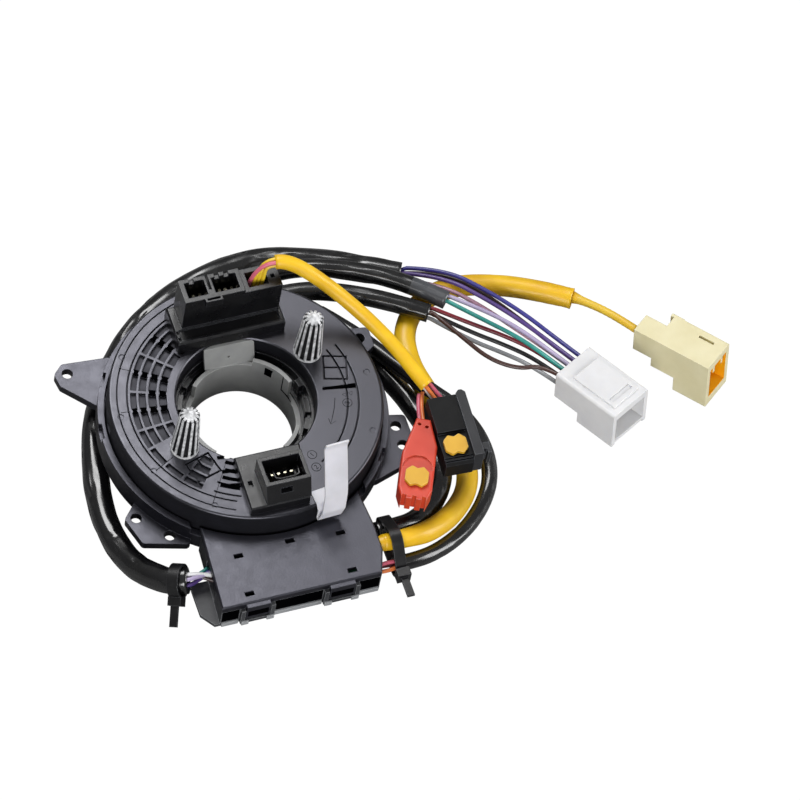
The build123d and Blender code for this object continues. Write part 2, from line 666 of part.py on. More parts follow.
def white_shell():
    """Male connector shell: stepped underside, raised cover and a wide mouth."""
    length, width, height = white_size
    step_length, step_rise = white_step
    depth, low, high = white_mouth
    body = slab(0, length, -width / 2, width / 2, 0, height)
    body = fillet(body.edges().filter_by(Axis.X).sort_by(Axis.Z)[-2:], 1.2)
    body -= slab(-1, step_length, -width, width, -1, step_rise)
    body -= slab(length - depth, length + 1, -white_mouth_width / 2, white_mouth_width / 2, low,
                 high)
    body -= slab(length - depth, length + 1, -white_mouth_width / 2, white_mouth_width / 2, -1,
                 low - 1.4)
    body += slab(6.0, length - 2.6, -6.6, 6.6, height - 0.01, height + 1.0)
    body -= slab(length - 6.6, length - 4.4, -5.2, 5.2, height + 0.3, height + 2)
    for row in (0, 1):
        for column in range(fan_columns):
            y = fan_spread * (column - (fan_columns - 1) / 2)
            hole = Pos(-1, y, fan_row_low + row * fan_row_gap) * Rot(0, 90, 0) * Cylinder(
                fan_wire / 2 + 0.2, 4.0, align=UP)
            body -= hole
    return body


def white_pins():
    """Two rows of flat pins that stand in the mouth."""
    length, _, _ = white_size
    depth, _, _ = white_mouth
    pins = []
    for row in (0, 1):
        for column in range(fan_columns):
            y = fan_spread * (column - (fan_columns - 1) / 2)
            pins.append(slab(length - depth, length - depth + 6.5, y - 0.5, y + 0.5,
                             5.2 + row * 4.6, 5.9 + row * 4.6))
    return Compound(pins)


cream_place = (159.8, 3.0)
cream_turn = (-52.5, -8.0, -2.0)
cream_size = (32.3, 14.6, 22.8)
cream_steps = [(8.0, 11.5), (18.0, 7.0)]    # length from the rear, height of the underside
cream_mouth = (15.0, 4.0, 19.6)
cream_mouth_width = 10.8


def cream_shell():
    """Airbag connector shell: underside in three steps, fin, top slot and a tall mouth."""
    length, width, height = cream_size
    depth, low, high = cream_mouth
    body = slab(0, length, -width / 2, width / 2, 0, height)
    for reach, rise in cream_steps:
        body -= slab(-1, reach, -width, width, -1, rise)
    body -= slab(-1, 9.0, 1.4, width, -1, height + 1)
    body = fillet(body.edges().filter_by(Axis.X).sort_by(Axis.Z)[-2:], 0.8)
    body += slab(7.6, 13.0, width / 2 - 1.4, width / 2, 10.0, height)
    body -= slab(length - depth, length + 1, -cream_mouth_width / 2, cream_mouth_width / 2, low,
                 high)
    for y in (-2.7, 2.7):
        body += slab(length - 6.0, length - 0.2, y - 0.6, y + 0.6, high - 3.6, high + 0.01)
    body -= slab(length - 11.0, length - 4.6, 3.2, 4.3, high + 0.8, height + 1)
    return body


def cream_pins():
    """Four round-nosed pins inside the airbag connector."""
    length, _, _ = cream_size
    depth, _, _ = cream_mouth
    pins = []
    for y in (-2.6, 2.6):
        for z in (8.0, 12.4):
            pins.append(slab(length - depth, length - depth + 6.0, y - 0.5, y + 0.5, z, z + 0.7))
    return Compound(pins)


# ------------------------------------------------------------- squib lead and plugs
squib_lead_diameter = 5.4
squib_route = [
    (13.2, 35.7, 52.2), (13.4, 35.8, 57.6), (15.4, 36.6, 62.4), (20.0, 37.0, 65.2),
    (26.2, 35.2, 63.6),
    (32.8, 31.4, 59.4), (39.8, 27.0, 53.6), (46.2, 21.5, 48.4), (52.4, 14.3, 44.2),
    (58.9, 3.8, 40.4), (64.0, -8.0, 37.0), (66.9, -13.6, 35.2), (67.9, -16.8, 34.4)]
orange_route = [(63.6, -11.1, 31.8), (61.0, -16.9, 32.0), (60.0, -23.2, 32.4)]
black_plug_place = (68.2, -18.1)
black_plug_heading = -93.0
black_plug_size = (27.6, 10.6, 10.4)
orange_plug_place = (60.0, -23.9)
orange_plug_heading = -114.5
orange_plug_size = (34.0, 12.4, 8.0)
plug_underside = box_top + 2.0
orange_lead_diameter = 3.0
lock_gap = 0.3
lock_size = (8.0, 8.4, 3.4)
black_lock_reach = 20.2
orange_lock_reach = 25.4


def lock_outline():
    """The four-lobed outline of a squib lock, seen from above."""
    length, width, _ = lock_size
    points = [
        (-length / 2, -width / 4), (-length / 4, -width / 2), (length / 4, -width / 2),
        (length / 2, -width / 4), (length / 2.6, 0), (length / 2, width / 4),
        (length / 4, width / 2), (-length / 4, width / 2), (-length / 2, width / 4),
        (-length / 2.6, 0)]
    return make_face(Polyline(*points, close=True))


def squib_lock(reach, top):
    """A yellow secondary lock, its lobed cap over a stem that slides in the plug."""
    cap = Pos(reach, 0, top + lock_gap) * extrude(fillet(lock_outline().vertices(), 0.7), 1.4)
    stem = Pos(reach, 0, top - 3.0) * Box(4.4, 4.0, 3.0 + lock_gap + 0.5, align=UP)
    return cap + stem


def stem_slot(reach, top):
    """The pocket that a lock's stem slides in."""
    return Pos(reach, 0, top - 3.0 - lock_gap) * Box(4.4 + 2 * lock_gap, 4.0 + 2 * lock_gap,
                                                    4.0 + lock_gap, align=UP)


def black_plug():
    """Black squib plug: a plain rear block, a low bed for the lock and a ribbed head."""
    length, width, height = black_plug_size
    body = slab(0, length, -width / 2, width / 2, 0, height)
    body -= slab(14.6, length + 1, -width, width, height - 1.6, height + 1)
    body = chamfer(body.faces().sort_by(Axis.X)[-1].edges().filter_by(Axis.Y), 1.0)
    for x in (24.6, 25.9):
        body -= slab(x, x + 0.6, -width, width, height - 2.4, height)
    return body - stem_slot(black_lock_reach, height - 1.6)


def black_plug_cover():
    """The grey side cover of the black plug, with a hook at its head."""
    length, width, height = black_plug_size
    low = width / 2
    body = slab(-1.0, length - 1.0, low, low + 3.6, 0, height + 1.2)
    body = chamfer(body.faces().sort_by(Axis.X)[0].edges().filter_by(Axis.Z), 1.2)
    body += slab(length - 6.0, length - 3.4, low + 3.6, low + 6.6, 3.0, height)
    body += slab(length - 3.4, length - 1.6, low + 5.4, low + 6.6, 3.0, height)
    return body


def orange_plug():
    """Orange squib plug: a narrow rear end that widens to the head with its lock."""
    length, width, height = orange_plug_size
    outline = [(0, -2.6), (0, 2.6), (11.0, width / 2), (length - 4.4, width / 2),
               (length, width / 2 - 1.6), (length, -width / 2 + 1.6),
               (length - 4.4, -width / 2), (15.0, -width / 2)]
    body = plate(outline, 0, height)
    body = fillet(body.faces().sort_by(Axis.Z)[-1].edges(), 0.8)
    body -= Pos(21.4, 0, height - 0.8) * Cylinder(width / 2 - 0.6, 2, align=UP) - slab(
        21.4, 40, -10, 10, height - 2, height + 3)
    for x, y in ((2.6, -1.3), (3.4, 1.5)):
        body -= drill(x, y, 0.7, height - 1.6, height + 1)
    for y in (-3.6, 0, 3.6):
        body -= slab(length - 1.2, length + 1, y - 0.8, y + 0.8, -1, height + 1)
    return body - stem_slot(orange_lock_reach, height)


def set_plug(place, heading, solid):
    """A squib plug piece at its place above the cassette flange."""
    return Pos(place[0], place[1], plug_underside) * Rot(0, 0, heading) * solid


tie_thickness = 1.0
tie_band = 4.2
tie_slack = 0.4           # the bands lie this far off the sleeves
left_tie_distance = 10.4  # along the tube, from the box
left_tie_turn = -120.0
left_tie_tail = 8.0
right_tie_x = 37.4


def tie(route, diameter, distance, head_turn, tail):
    """A cable tie round one tube, with its head and cut tail."""
    path = FilletPolyline(*route, radius=cord_radii(route))
    share = distance / path.length
    bore = diameter / 2 + tie_slack
    loop = Cylinder(bore + tie_thickness, tie_band) - Cylinder(bore, tie_band)
    head = Pos(bore + tie_thickness + 0.9, 0, 0) * Box(3.4, 5.0, tie_band + 0.8)
    head -= Cylinder(bore, 2 * tie_band)
    strip = Pos(bore + tie_thickness + 2.2 + tail / 2, 1.4, 0) * Box(tail, 0.9, tie_band - 1.2)
    body = loop + Rot(0, 0, head_turn) * (head + strip)
    place = Plane(origin=path @ share, x_dir=(0, 0, 1), z_dir=path % share)
    return place.location * body


def crossing(route, x):
    """Where the first run of a route passes a given x, as y and z."""
    start, end = route[0], route[1]
    share = (x - start[0]) / (end[0] - start[0])
    return [start[axis] + share * (end[axis] - start[axis]) for axis in (1, 2)]


def wide_tie(x, bundle):
    """A cable tie drawn round several tubes where they leave the box; the last is in front."""
    stations = [(*crossing(route, x), diameter / 2 + tie_slack) for diameter, route in bundle]
    circles = [Pos(y, z) * Circle(radius) for y, z, radius in stations]
    hull = make_hull(ShapeList(edge for circle in circles for edge in circle.edges()))
    section = offset(hull, tie_thickness) - hull
    loop = Pos(x - tie_band / 2, 0, 0) * extrude(Plane.YZ * section, tie_band, dir=(1, 0, 0))
    front, middle, radius = stations[-1]
    edge = front - radius - tie_thickness
    half = tie_band / 2
    head = slab(x - half - 0.4, x + half + 0.4, edge - 2.8, edge + 0.6, middle - 1.0, middle + 4.0)
    tail = slab(x - half + 0.7, x + half - 0.7, edge - 10.4, edge - 2.0, middle + 1.4, middle + 2.4)
    filled = Pos(x - tie_band, 0, 0) * extrude(Plane.YZ * hull, 2 * tie_band, dir=(1, 0, 0))
    return loop + head + tail - filled


# --------------------------------------------------------------------- the pieces
parts["stator_housing"] = stator_housing()
parts["bottom_cover"] = bottom_cover()
parts["junction_box_tray"] = junction_box_tray()
parts["junction_box_lid"] = junction_box_lid()
parts["terminal_board"] = terminal_board()
parts["ribbon_cable"] = ribbon_cable()
parts["outer_terminal_block"] = outer_terminal_block()
parts["inner_terminal_block"] = inner_terminal_block()
parts["rotor_cover"] = rotor_cover()
parts["hub_sleeve"] = hub_sleeve()
parts["drive_post_left"] = drive_post(post_left)
parts["drive_post_right"] = drive_post(post_right)
parts["switch_socket_housing"] = switch_socket_housing()
parts["switch_socket_pins"] = switch_socket_pins()
parts["horn_socket_housing"] = horn_socket_housing()
parts["horn_socket_pins"] = horn_socket_pins()
parts["lock_strip"] = lock_strip()

black_top = black_plug_size[2] - 1.6
orange_top = orange_plug_size[2]
parts["black_squib_plug"] = set_plug(black_plug_place, black_plug_heading, black_plug())
parts["black_squib_cover"] = set_plug(black_plug_place, black_plug_heading, black_plug_cover())
parts["orange_squib_plug"] = set_plug(orange_plug_place, orange_plug_heading, orange_plug())
parts["black_squib_lock"] = set_plug(black_plug_place, black_plug_heading,
                                     squib_lock(black_lock_reach, black_top))
parts["orange_squib_lock"] = set_plug(orange_plug_place, orange_plug_heading,
                                      squib_lock(orange_lock_reach, orange_top))
parts["squib_lead"] = cord("squib_lead", above_floor(squib_route), squib_lead_diameter)
parts["orange_squib_lead"] = cord("orange_squib_lead", above_floor(orange_route),
                                  orange_lead_diameter)

parts["white_connector"], parts["white_connector_pins"] = rested(
    turned(white_place, white_turn, white_shell()), turned(white_place, white_turn, white_pins()))
parts["cream_connector"], parts["cream_connector_pins"] = rested(
    turned(cream_place, cream_turn, cream_shell()), turned(cream_place, cream_turn, cream_pins()))

tubes = {name: (diameter, above_floor(route)) for name, (diameter, route) in harness_cords.items()}
diameter, route = tubes["left_harness_tube"]
parts["left_cable_tie"] = tie(route, diameter, left_tie_distance, left_tie_turn, left_tie_tail)
bundle = [tubes[name] for name in ("inner_harness_tube", "airbag_trunk_tube", "outer_harness_tube")]
parts["right_cable_tie"] = wide_tie(right_tie_x, bundle)

for name, (diameter, route) in tubes.items():
    parts[name] = cord(name, route, diameter)

for name, route in fan_wires.items():
    parts[name] = cord(name, above_floor(route), fan_wire)

os.makedirs("parts", exist_ok=True)
for name, solid in parts.items():
    export_step(solid, f"parts/{name}.step")
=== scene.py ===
"""The looks of a steering clock spring: moulded plastics, vinyl sleeves, wires and ties.

Sizes are in millimetres and turned to metres by MM. The frame is the CAD model's own:
origin on the bore axis at the lower end of the hub sleeve, +Z up along the bore.
"""
import json
import math

import bmesh
import bpy
from mathutils import Matrix, Vector, noise

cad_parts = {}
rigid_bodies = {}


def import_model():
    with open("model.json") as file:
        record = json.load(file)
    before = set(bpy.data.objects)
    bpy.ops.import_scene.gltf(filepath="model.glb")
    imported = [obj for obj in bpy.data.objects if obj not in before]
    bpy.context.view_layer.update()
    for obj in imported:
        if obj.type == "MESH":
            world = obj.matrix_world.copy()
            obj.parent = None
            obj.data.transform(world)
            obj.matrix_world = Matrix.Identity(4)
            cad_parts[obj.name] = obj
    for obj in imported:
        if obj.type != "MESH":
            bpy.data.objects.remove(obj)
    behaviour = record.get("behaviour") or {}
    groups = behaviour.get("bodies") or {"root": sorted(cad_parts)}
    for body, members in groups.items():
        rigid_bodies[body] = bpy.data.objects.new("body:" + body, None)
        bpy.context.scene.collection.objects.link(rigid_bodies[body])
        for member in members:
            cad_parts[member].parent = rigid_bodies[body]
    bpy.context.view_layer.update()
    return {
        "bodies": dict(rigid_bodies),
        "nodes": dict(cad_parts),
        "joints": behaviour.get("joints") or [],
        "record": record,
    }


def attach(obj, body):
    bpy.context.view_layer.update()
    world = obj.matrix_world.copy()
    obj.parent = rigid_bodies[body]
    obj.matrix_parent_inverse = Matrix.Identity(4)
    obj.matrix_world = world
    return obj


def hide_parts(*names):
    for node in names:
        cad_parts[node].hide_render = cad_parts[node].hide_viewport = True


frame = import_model()
nodes = frame["nodes"]
MM = 0.001
FLOOR = -9.5              # the surface the part lies on
ROTOR_TOP = 27.0
POST_FOOT_RADIUS = 5.2    # over the ribs, where a post leaves the rotor
POST_TOP_RADIUS = 3.7     # over the ribs, at the shoulder
POST_SHOULDER = 48.9      # the ribs of the posts end at this height


# ------------------------------------------------------------------ camera and light
CAMERA_AZIMUTH = -29.0
CAMERA_ELEVATION = 58.0
CAMERA_ROLL = -12.5
CAMERA_DISTANCE = 2.5     # metres
CAMERA_TARGET = (0.054, -0.0144, 0.027)
CAMERA_LENS = 311.2       # on a 36 mm sensor


def set_camera():
    """The camera, from its azimuth, elevation and roll about the line of sight."""
    azimuth, elevation, roll = map(math.radians, (CAMERA_AZIMUTH, CAMERA_ELEVATION, CAMERA_ROLL))
    back = Vector((math.sin(azimuth) * math.cos(elevation),
                   -math.cos(azimuth) * math.cos(elevation), math.sin(elevation)))
    level = Vector((math.cos(azimuth), math.sin(azimuth), 0.0))
    upright = back.cross(level)
    right = level * math.cos(roll) - upright * math.sin(roll)
    up = level * math.sin(roll) + upright * math.cos(roll)
    data = bpy.data.cameras.new("camera")
    data.lens = CAMERA_LENS
    data.sensor_width = 36.0
    data.clip_end = 20.0
    camera = bpy.data.objects.new("camera", data)
    turn = Matrix((right, up, back)).transposed().to_4x4()
    camera.matrix_world = Matrix.Translation(Vector(CAMERA_TARGET) + back * CAMERA_DISTANCE) @ turn
    bpy.context.scene.collection.objects.link(camera)
    bpy.context.scene.camera = camera


def soft_box(name, place, size, watts):
    """A square area lamp that faces the middle of the part."""
    data = bpy.data.lights.new(name, "AREA")
    data.size = size
    data.energy = watts
    lamp = bpy.data.objects.new(name, data)
    lamp.location = place
    toward = Vector(CAMERA_TARGET) - Vector(place)
    lamp.rotation_euler = toward.to_track_quat("-Z", "Y").to_euler()
    bpy.context.scene.collection.objects.link(lamp)


# --------------------------------------------------------------------------- colours
def linear(hex_colour):
    """An sRGB hex value as linear red, green, blue and alpha."""
    channels = [int(hex_colour[i:i + 2], 16) / 255 for i in (1, 3, 5)]
    return [c / 12.92 if c <= 0.04045 else ((c + 0.055) / 1.055) ** 2.4 for c in channels] + [1.0]


def add(tree, kind, settings=None, stops=(), **inputs):
    """Adds one node. Inputs are values, sockets or nodes, named with _ for a space.

    A node stands for its first output, i0 is the first input, and stops are the positions
    and hex colours of a ramp.
    """
    made = tree.nodes.new(kind)
    for name, value in (settings or {}).items():
        setattr(made, name, value)
    elements = made.color_ramp.elements if stops else []
    while len(elements) < len(stops):
        elements.new(0.5)
    for element, (position, colour) in zip(elements, stops):
        element.position = position
        element.color = linear(colour)
    for name, value in inputs.items():
        key = int(name[1:]) if name[0] == "i" and name[1:].isdigit() else name.replace("_", " ")
        if isinstance(value, bpy.types.Node):
            value = value.outputs[0]
        if isinstance(value, bpy.types.NodeSocket):
            tree.links.new(value, made.inputs[key])
        else:
            made.inputs[key].default_value = value
    return made


def new_finish(name):
    """An empty material with its tree, shader and the part's own coordinates."""
    material = bpy.data.materials.new(name)
    material.use_nodes = True
    tree = material.node_tree
    shader = tree.nodes["Principled BSDF"]
    place = add(tree, "ShaderNodeTexCoord").outputs["Object"]
    return material, tree, shader, place


EDGE_ROUND = 0.35          # mm round an edge: the rounding of its shading, and how far the paler edge colour reaches
PALE_EDGE_SHARE = 0.6          # how much of the paler edge colour, painted highlight with some wear, shows there


def grains(size_mm):
    """The noise scale whose grains are about size_mm across."""
    return 1 / (size_mm * MM)


def moulded(name, dark, light, roughness, grain_mm, depth_mm, edge=None, specular=0.5, milky=0.0,
            tint="#ffffff", sunk_mm=None, wall_shine=1.0):
    """A moulded plastic: clouded colour, uneven gloss, a fine grain and paler edges of painted
    highlight with some wear.

    Below sunk_mm the skin is duller, because nothing has rubbed it there. Upright walls keep
    only wall_shine of the shine: painted shade that darkens the walls against the tops.
    """
    material, tree, shader, place = new_finish(name)
    cloud = add(tree, "ShaderNodeTexNoise", Vector=place, Scale=grains(9.0), Detail=4.0)
    colour = add(tree, "ShaderNodeValToRGB", stops=[(0.3, dark), (0.7, light)], Fac=cloud)
    base = colour.outputs["Color"]
    rounded = add(tree, "ShaderNodeBevel", {"samples": 6}, Radius=EDGE_ROUND * MM)
    # Paler edges: painted highlight with some wear.
    if edge:
        true = add(tree, "ShaderNodeNewGeometry").outputs["Normal"]
        same = add(tree, "ShaderNodeVectorMath", {"operation": "DOT_PRODUCT"}, i0=rounded, i1=true)
        edge_glint_and_wear = add(tree, "ShaderNodeMapRange", Value=same.outputs["Value"], From_Min=0.995,
                   From_Max=0.88)
        patches = add(tree, "ShaderNodeTexNoise", Vector=place, Scale=grains(3.0), Detail=2.0)
        patchy = add(tree, "ShaderNodeMath", {"operation": "MULTIPLY"}, i0=edge_glint_and_wear, i1=patches)
        share = add(tree, "ShaderNodeMath", {"operation": "MULTIPLY"}, i0=patchy,
                    i1=2 * PALE_EDGE_SHARE)
        base = add(tree, "ShaderNodeMix", {"data_type": "RGBA"}, i0=share, i6=base,
                   i7=linear(edge)).outputs[2]
    tree.links.new(base, shader.inputs["Base Color"])
    handled = add(tree, "ShaderNodeTexNoise", Vector=place, Scale=grains(4.0), Detail=3.0)
    rough = add(tree, "ShaderNodeMapRange", Value=handled, From_Min=0.3, From_Max=0.7,
                To_Min=roughness - 0.05, To_Max=roughness + 0.06)
    if sunk_mm:
        height = add(tree, "ShaderNodeSeparateXYZ", Vector=place).outputs["Z"]
        dull = add(tree, "ShaderNodeMapRange", Value=height, From_Min=(sunk_mm - 0.2) * MM,
                   From_Max=sunk_mm * MM, To_Min=0.3, To_Max=0.0)
        rough = add(tree, "ShaderNodeMath", {"operation": "ADD"}, i0=rough, i1=dull)
    tree.links.new(rough.outputs[0], shader.inputs["Roughness"])
    pits = add(tree, "ShaderNodeTexNoise", Vector=place, Scale=grains(grain_mm), Detail=2.0)
    grain = add(tree, "ShaderNodeBump", Strength=0.5, Distance=depth_mm * MM, Height=pits,
                Normal=rounded)
    tree.links.new(grain.outputs["Normal"], shader.inputs["Normal"])
    shader.inputs["IOR"].default_value = 1.5
    shader.inputs["Specular IOR Level"].default_value = specular
    # Less shine on upright walls: painted shade.
    if wall_shine < 1.0:
        facing = add(tree, "ShaderNodeSeparateXYZ", Vector=rounded).outputs["Z"]
        shine = add(tree, "ShaderNodeMapRange", Value=facing, From_Min=0.25, From_Max=0.75,
                    To_Min=specular * wall_shine, To_Max=specular)
        tree.links.new(shine.outputs["Result"], shader.inputs["Specular IOR Level"])
    shader.inputs["Specular Tint"].default_value = linear(tint)
    if milky:
        shader.inputs["Subsurface Weight"].default_value = milky
        shader.inputs["Subsurface Radius"].default_value = (1.0, 0.9, 0.75)
        shader.inputs["Subsurface Scale"].default_value = 1.2 * MM
    return material


def ribbed(name, centre):
    """Dark nylon whose rib crests and tip are pale grey."""
    material, tree, shader, place = new_finish(name)
    away = add(tree, "ShaderNodeVectorMath", {"operation": "SUBTRACT"}, i0=place,
               i1=(centre[0] * MM, centre[1] * MM, 0))
    flat = add(tree, "ShaderNodeVectorMath", {"operation": "MULTIPLY"}, i0=away, i1=(1, 1, 0))
    radius = add(tree, "ShaderNodeVectorMath", {"operation": "LENGTH"}, i0=flat).outputs["Value"]
    height = add(tree, "ShaderNodeSeparateXYZ", Vector=away).outputs["Z"]
    taper = add(tree, "ShaderNodeMapRange", Value=height, From_Min=ROTOR_TOP * MM,
                From_Max=POST_SHOULDER * MM, To_Min=POST_FOOT_RADIUS * MM,
                To_Max=POST_TOP_RADIUS * MM)
    depth = add(tree, "ShaderNodeMath", {"operation": "SUBTRACT"}, i0=taper, i1=radius)
    crest = add(tree, "ShaderNodeMapRange", Value=depth, From_Min=0.5 * MM, From_Max=0.12 * MM)
    tip = add(tree, "ShaderNodeMapRange", Value=height, From_Min=POST_SHOULDER * MM,
              From_Max=(POST_SHOULDER + 0.5) * MM)
    pale = add(tree, "ShaderNodeMath", {"operation": "MAXIMUM"}, i0=crest, i1=tip)
    patches = add(tree, "ShaderNodeTexNoise", Vector=place, Scale=grains(2.0), Detail=3.0)
    mottled = add(tree, "ShaderNodeMapRange", Value=patches, From_Min=0.25, From_Max=0.6,
                  To_Min=0.55, To_Max=1.0)
    share = add(tree, "ShaderNodeMath", {"operation": "MULTIPLY"}, i0=pale, i1=mottled)
    colour = add(tree, "ShaderNodeValToRGB", Fac=share,
                 stops=[(0.0, "#141517"), (0.5, "#6c6e71"), (1.0, "#e0e1e3")])
    tree.links.new(colour.outputs["Color"], shader.inputs["Base Color"])
    shader.inputs["Roughness"].default_value = 0.45
    return material


def vinyl(name, dark, light, roughness, coat, crease_mm, milky=0.0):
    """Extruded soft vinyl: shallow creases across a glossy skin, duller where it was handled."""
    material, tree, shader, place = new_finish(name)
    cloud = add(tree, "ShaderNodeTexNoise", Vector=place, Scale=grains(14.0), Detail=3.0)
    colour = add(tree, "ShaderNodeValToRGB", stops=[(0.32, dark), (0.68, light)], Fac=cloud)
    tree.links.new(colour.outputs["Color"], shader.inputs["Base Color"])
    handled = add(tree, "ShaderNodeTexNoise", Vector=place, Scale=grains(5.0), Detail=3.0)
    gloss = add(tree, "ShaderNodeMapRange", Value=handled, From_Min=0.3, From_Max=0.7,
                To_Min=roughness - 0.07, To_Max=roughness + 0.1)
    tree.links.new(gloss.outputs["Result"], shader.inputs["Roughness"])
    folds = add(tree, "ShaderNodeTexNoise", Vector=place, Scale=grains(8.0), Detail=1.0)
    creases = add(tree, "ShaderNodeBump", Strength=0.6, Distance=crease_mm * MM, Height=folds)
    tree.links.new(creases.outputs["Normal"], shader.inputs["Normal"])
    shader.inputs["IOR"].default_value = 1.53
    shader.inputs["Coat Weight"].default_value = coat
    shader.inputs["Coat Roughness"].default_value = 0.14
    if milky:
        shader.inputs["Subsurface Weight"].default_value = milky
        shader.inputs["Subsurface Radius"].default_value = (1.0, 0.7, 0.2)
        shader.inputs["Subsurface Scale"].default_value = 1.0 * MM
    return material


def metal(name, dark, light, roughness):
    """A plated contact with faint rolling marks."""
    material, tree, shader, place = new_finish(name)
    streaks = add(tree, "ShaderNodeTexNoise", Vector=place, Scale=grains(0.8), Detail=3.0)
    colour = add(tree, "ShaderNodeValToRGB", stops=[(0.3, dark), (0.7, light)], Fac=streaks)
    tree.links.new(colour.outputs["Color"], shader.inputs["Base Color"])
    shader.inputs["Metallic"].default_value = 1.0
    shader.inputs["Roughness"].default_value = roughness
    return material


# ------------------------------------------------------------------------- materials
# Glass-filled PBT from a spark-eroded tool: near black, satin, with greyish edges of painted
# highlight and some wear, and walls darkened by painted shade.
cover_pbt = moulded("satin_black_pbt", "#0b0b0e", "#111116", 0.33, 0.9, 0.03, edge="#3e4048",
                    specular=1.0, tint="#eeeefc", sunk_mm=26.4, wall_shine=0.3)
# The same PBT from a coarser tool: the cassette and the box lid look greyer and duller, and their
# walls are darkened by painted shade.
case_pbt = moulded("eroded_black_pbt", "#0d0d11", "#131318", 0.36, 0.8, 0.04, edge="#3c3e46",
                   specular=1.0, tint="#ececfc", wall_shine=0.3)
lid_pbt = moulded("matte_grey_black_pbt", "#15151a", "#1c1c22", 0.36, 0.8, 0.05, edge="#55575f",
                  specular=1.0, tint="#ececfc", wall_shine=0.3)
# Tray of the box: unpainted grey-black shell whose front edges look lighter; the paler edge colour
# is painted highlight with some wear.
tray_pbt = moulded("dusty_grey_pbt", "#2c2d30", "#3d3e41", 0.5, 0.9, 0.08, edge="#9a9c9f")
# Its front rim and hooks are a pale grey.
pale_rim = moulded("pale_grey_pbt", "#85878a", "#97999c", 0.45, 0.9, 0.05, edge="#b4b6b8")
# Socket mouldings come from a polished tool, so they are blacker and shinier.
socket_pbt = moulded("polished_black_pbt", "#08080a", "#0e0e11", 0.3, 0.7, 0.03, edge="#4a4d54",
                     specular=0.6)
# Acetal runs in the bore: pale grey, waxy, slightly see-through at thin edges.
sleeve_acetal = moulded("waxy_grey_acetal", "#909191", "#a2a3a2", 0.45, 0.9, 0.03,
                        edge="#c9cac9", milky=0.15)
# The posts are pale along every rib.
post_nylon = {"drive_post_left": ribbed("pale_crest_nylon_left", (-27.74, -13.83)),
              "drive_post_right": ribbed("pale_crest_nylon_right", (27.74, 13.83))}
# Natural nylon of the harness connectors: white, softly shining, light creeps in.
white_nylon = moulded("natural_white_nylon", "#dadadc", "#e4e4e5", 0.46, 0.9, 0.03,
                      edge="#f2f2f2", milky=0.2)
cream_nylon = moulded("cream_pbt", "#ddd4aa", "#e6deb8", 0.46, 0.9, 0.03, edge="#efe9cc",
                      milky=0.15)
# Squib plug and locks: bright airbag colours, satin.
coral_pbt = moulded("coral_orange_pbt", "#c63822", "#d0452e", 0.4, 0.8, 0.04, edge="#f08a72",
                    milky=0.1)
# Their locks: a warm yellow, a little waxy.
lock_acetal = moulded("warm_yellow_acetal", "#cf9c1e", "#dbaa2c", 0.42, 0.8, 0.04,
                      edge="#f6da8c", milky=0.1)
# Side cover of the black plug and the ribbon's end blocks: dark grey, satin.
cover_grey = moulded("satin_dark_grey_pbt", "#1d1e21", "#292a2e", 0.45, 0.8, 0.04,
                     edge="#85888e", specular=0.4)
# Polypropylene strip, die cut from sheet: white, a little translucent.
strip_film = moulded("white_polypropylene", "#c8c8ce", "#d6d5dc", 0.4, 0.9, 0.03,
                     edge="#f6f6f8", milky=0.3)
# Nylon 66 cable ties: deep black with a soft shine.
tie_nylon = moulded("black_nylon_66", "#0c0c0e", "#151517", 0.34, 0.6, 0.03, edge="#4a4c50")
# Contacts of the sockets and connectors: tinned, a warm dull silver.
contact_tin = metal("tinned_brass", "#b8b29a", "#d0ccb8", 0.3)
# Ribbon and board are hidden: copper under film, green mask.
film_copper = moulded("copper_laminate", "#a8703a", "#bd8448", 0.3, 0.8, 0.02)
board_mask = moulded("green_solder_mask", "#1c4a34", "#245a3e", 0.35, 0.8, 0.02)
# Painted shade: near-black plates laid where openings and gaps lie in shadow.
painted_shade_black = moulded("painted_shade_pbt", "#020203", "#040405", 0.8, 0.9, 0.02, specular=0.0)
# Moulded figures: fine lines that read darker than the plate.
mark_pbt = moulded("moulded_mark", "#08080a", "#0b0b0d", 0.7, 0.9, 0.02, specular=0.1)
# The squib plug's black is duller and darker than the sockets': painted shade on its upturned top.
shaded_plug_pbt = moulded("dull_black_pbt_painted_shade", "#060607", "#0a0a0c", 0.5, 0.8, 0.04, edge="#54575e",
                   specular=0.2)
# Soft vinyl tube: black, wet-looking along the folds.
black_vinyl = vinyl("glossy_black_vinyl", "#09090a", "#101012", 0.24, 0.8, 0.25)
# The upper tube is older stock: greyer and half see-through at its end; this finish gives it only
# the grey.
smoky_vinyl = vinyl("smoky_grey_vinyl", "#38393c", "#4c4e52", 0.32, 0.3, 0.15)
# Airbag sleeves are bright yellow vinyl by convention.
yellow_vinyl = vinyl("airbag_yellow_vinyl", "#dbaa10", "#edc01c", 0.4, 0.12, 0.15, milky=0.15)
pale_yellow_vinyl = vinyl("taped_yellow_vinyl", "#d8ac20", "#eac43c", 0.5, 0.05, 0.3,
                          milky=0.1)

# Walls of the cream connector's mouth: the light caught inside turns them amber.
amber_glow = moulded("amber_lit_pbt", "#f0a600", "#f4b410", 0.5, 0.9, 0.03, milky=0.2)

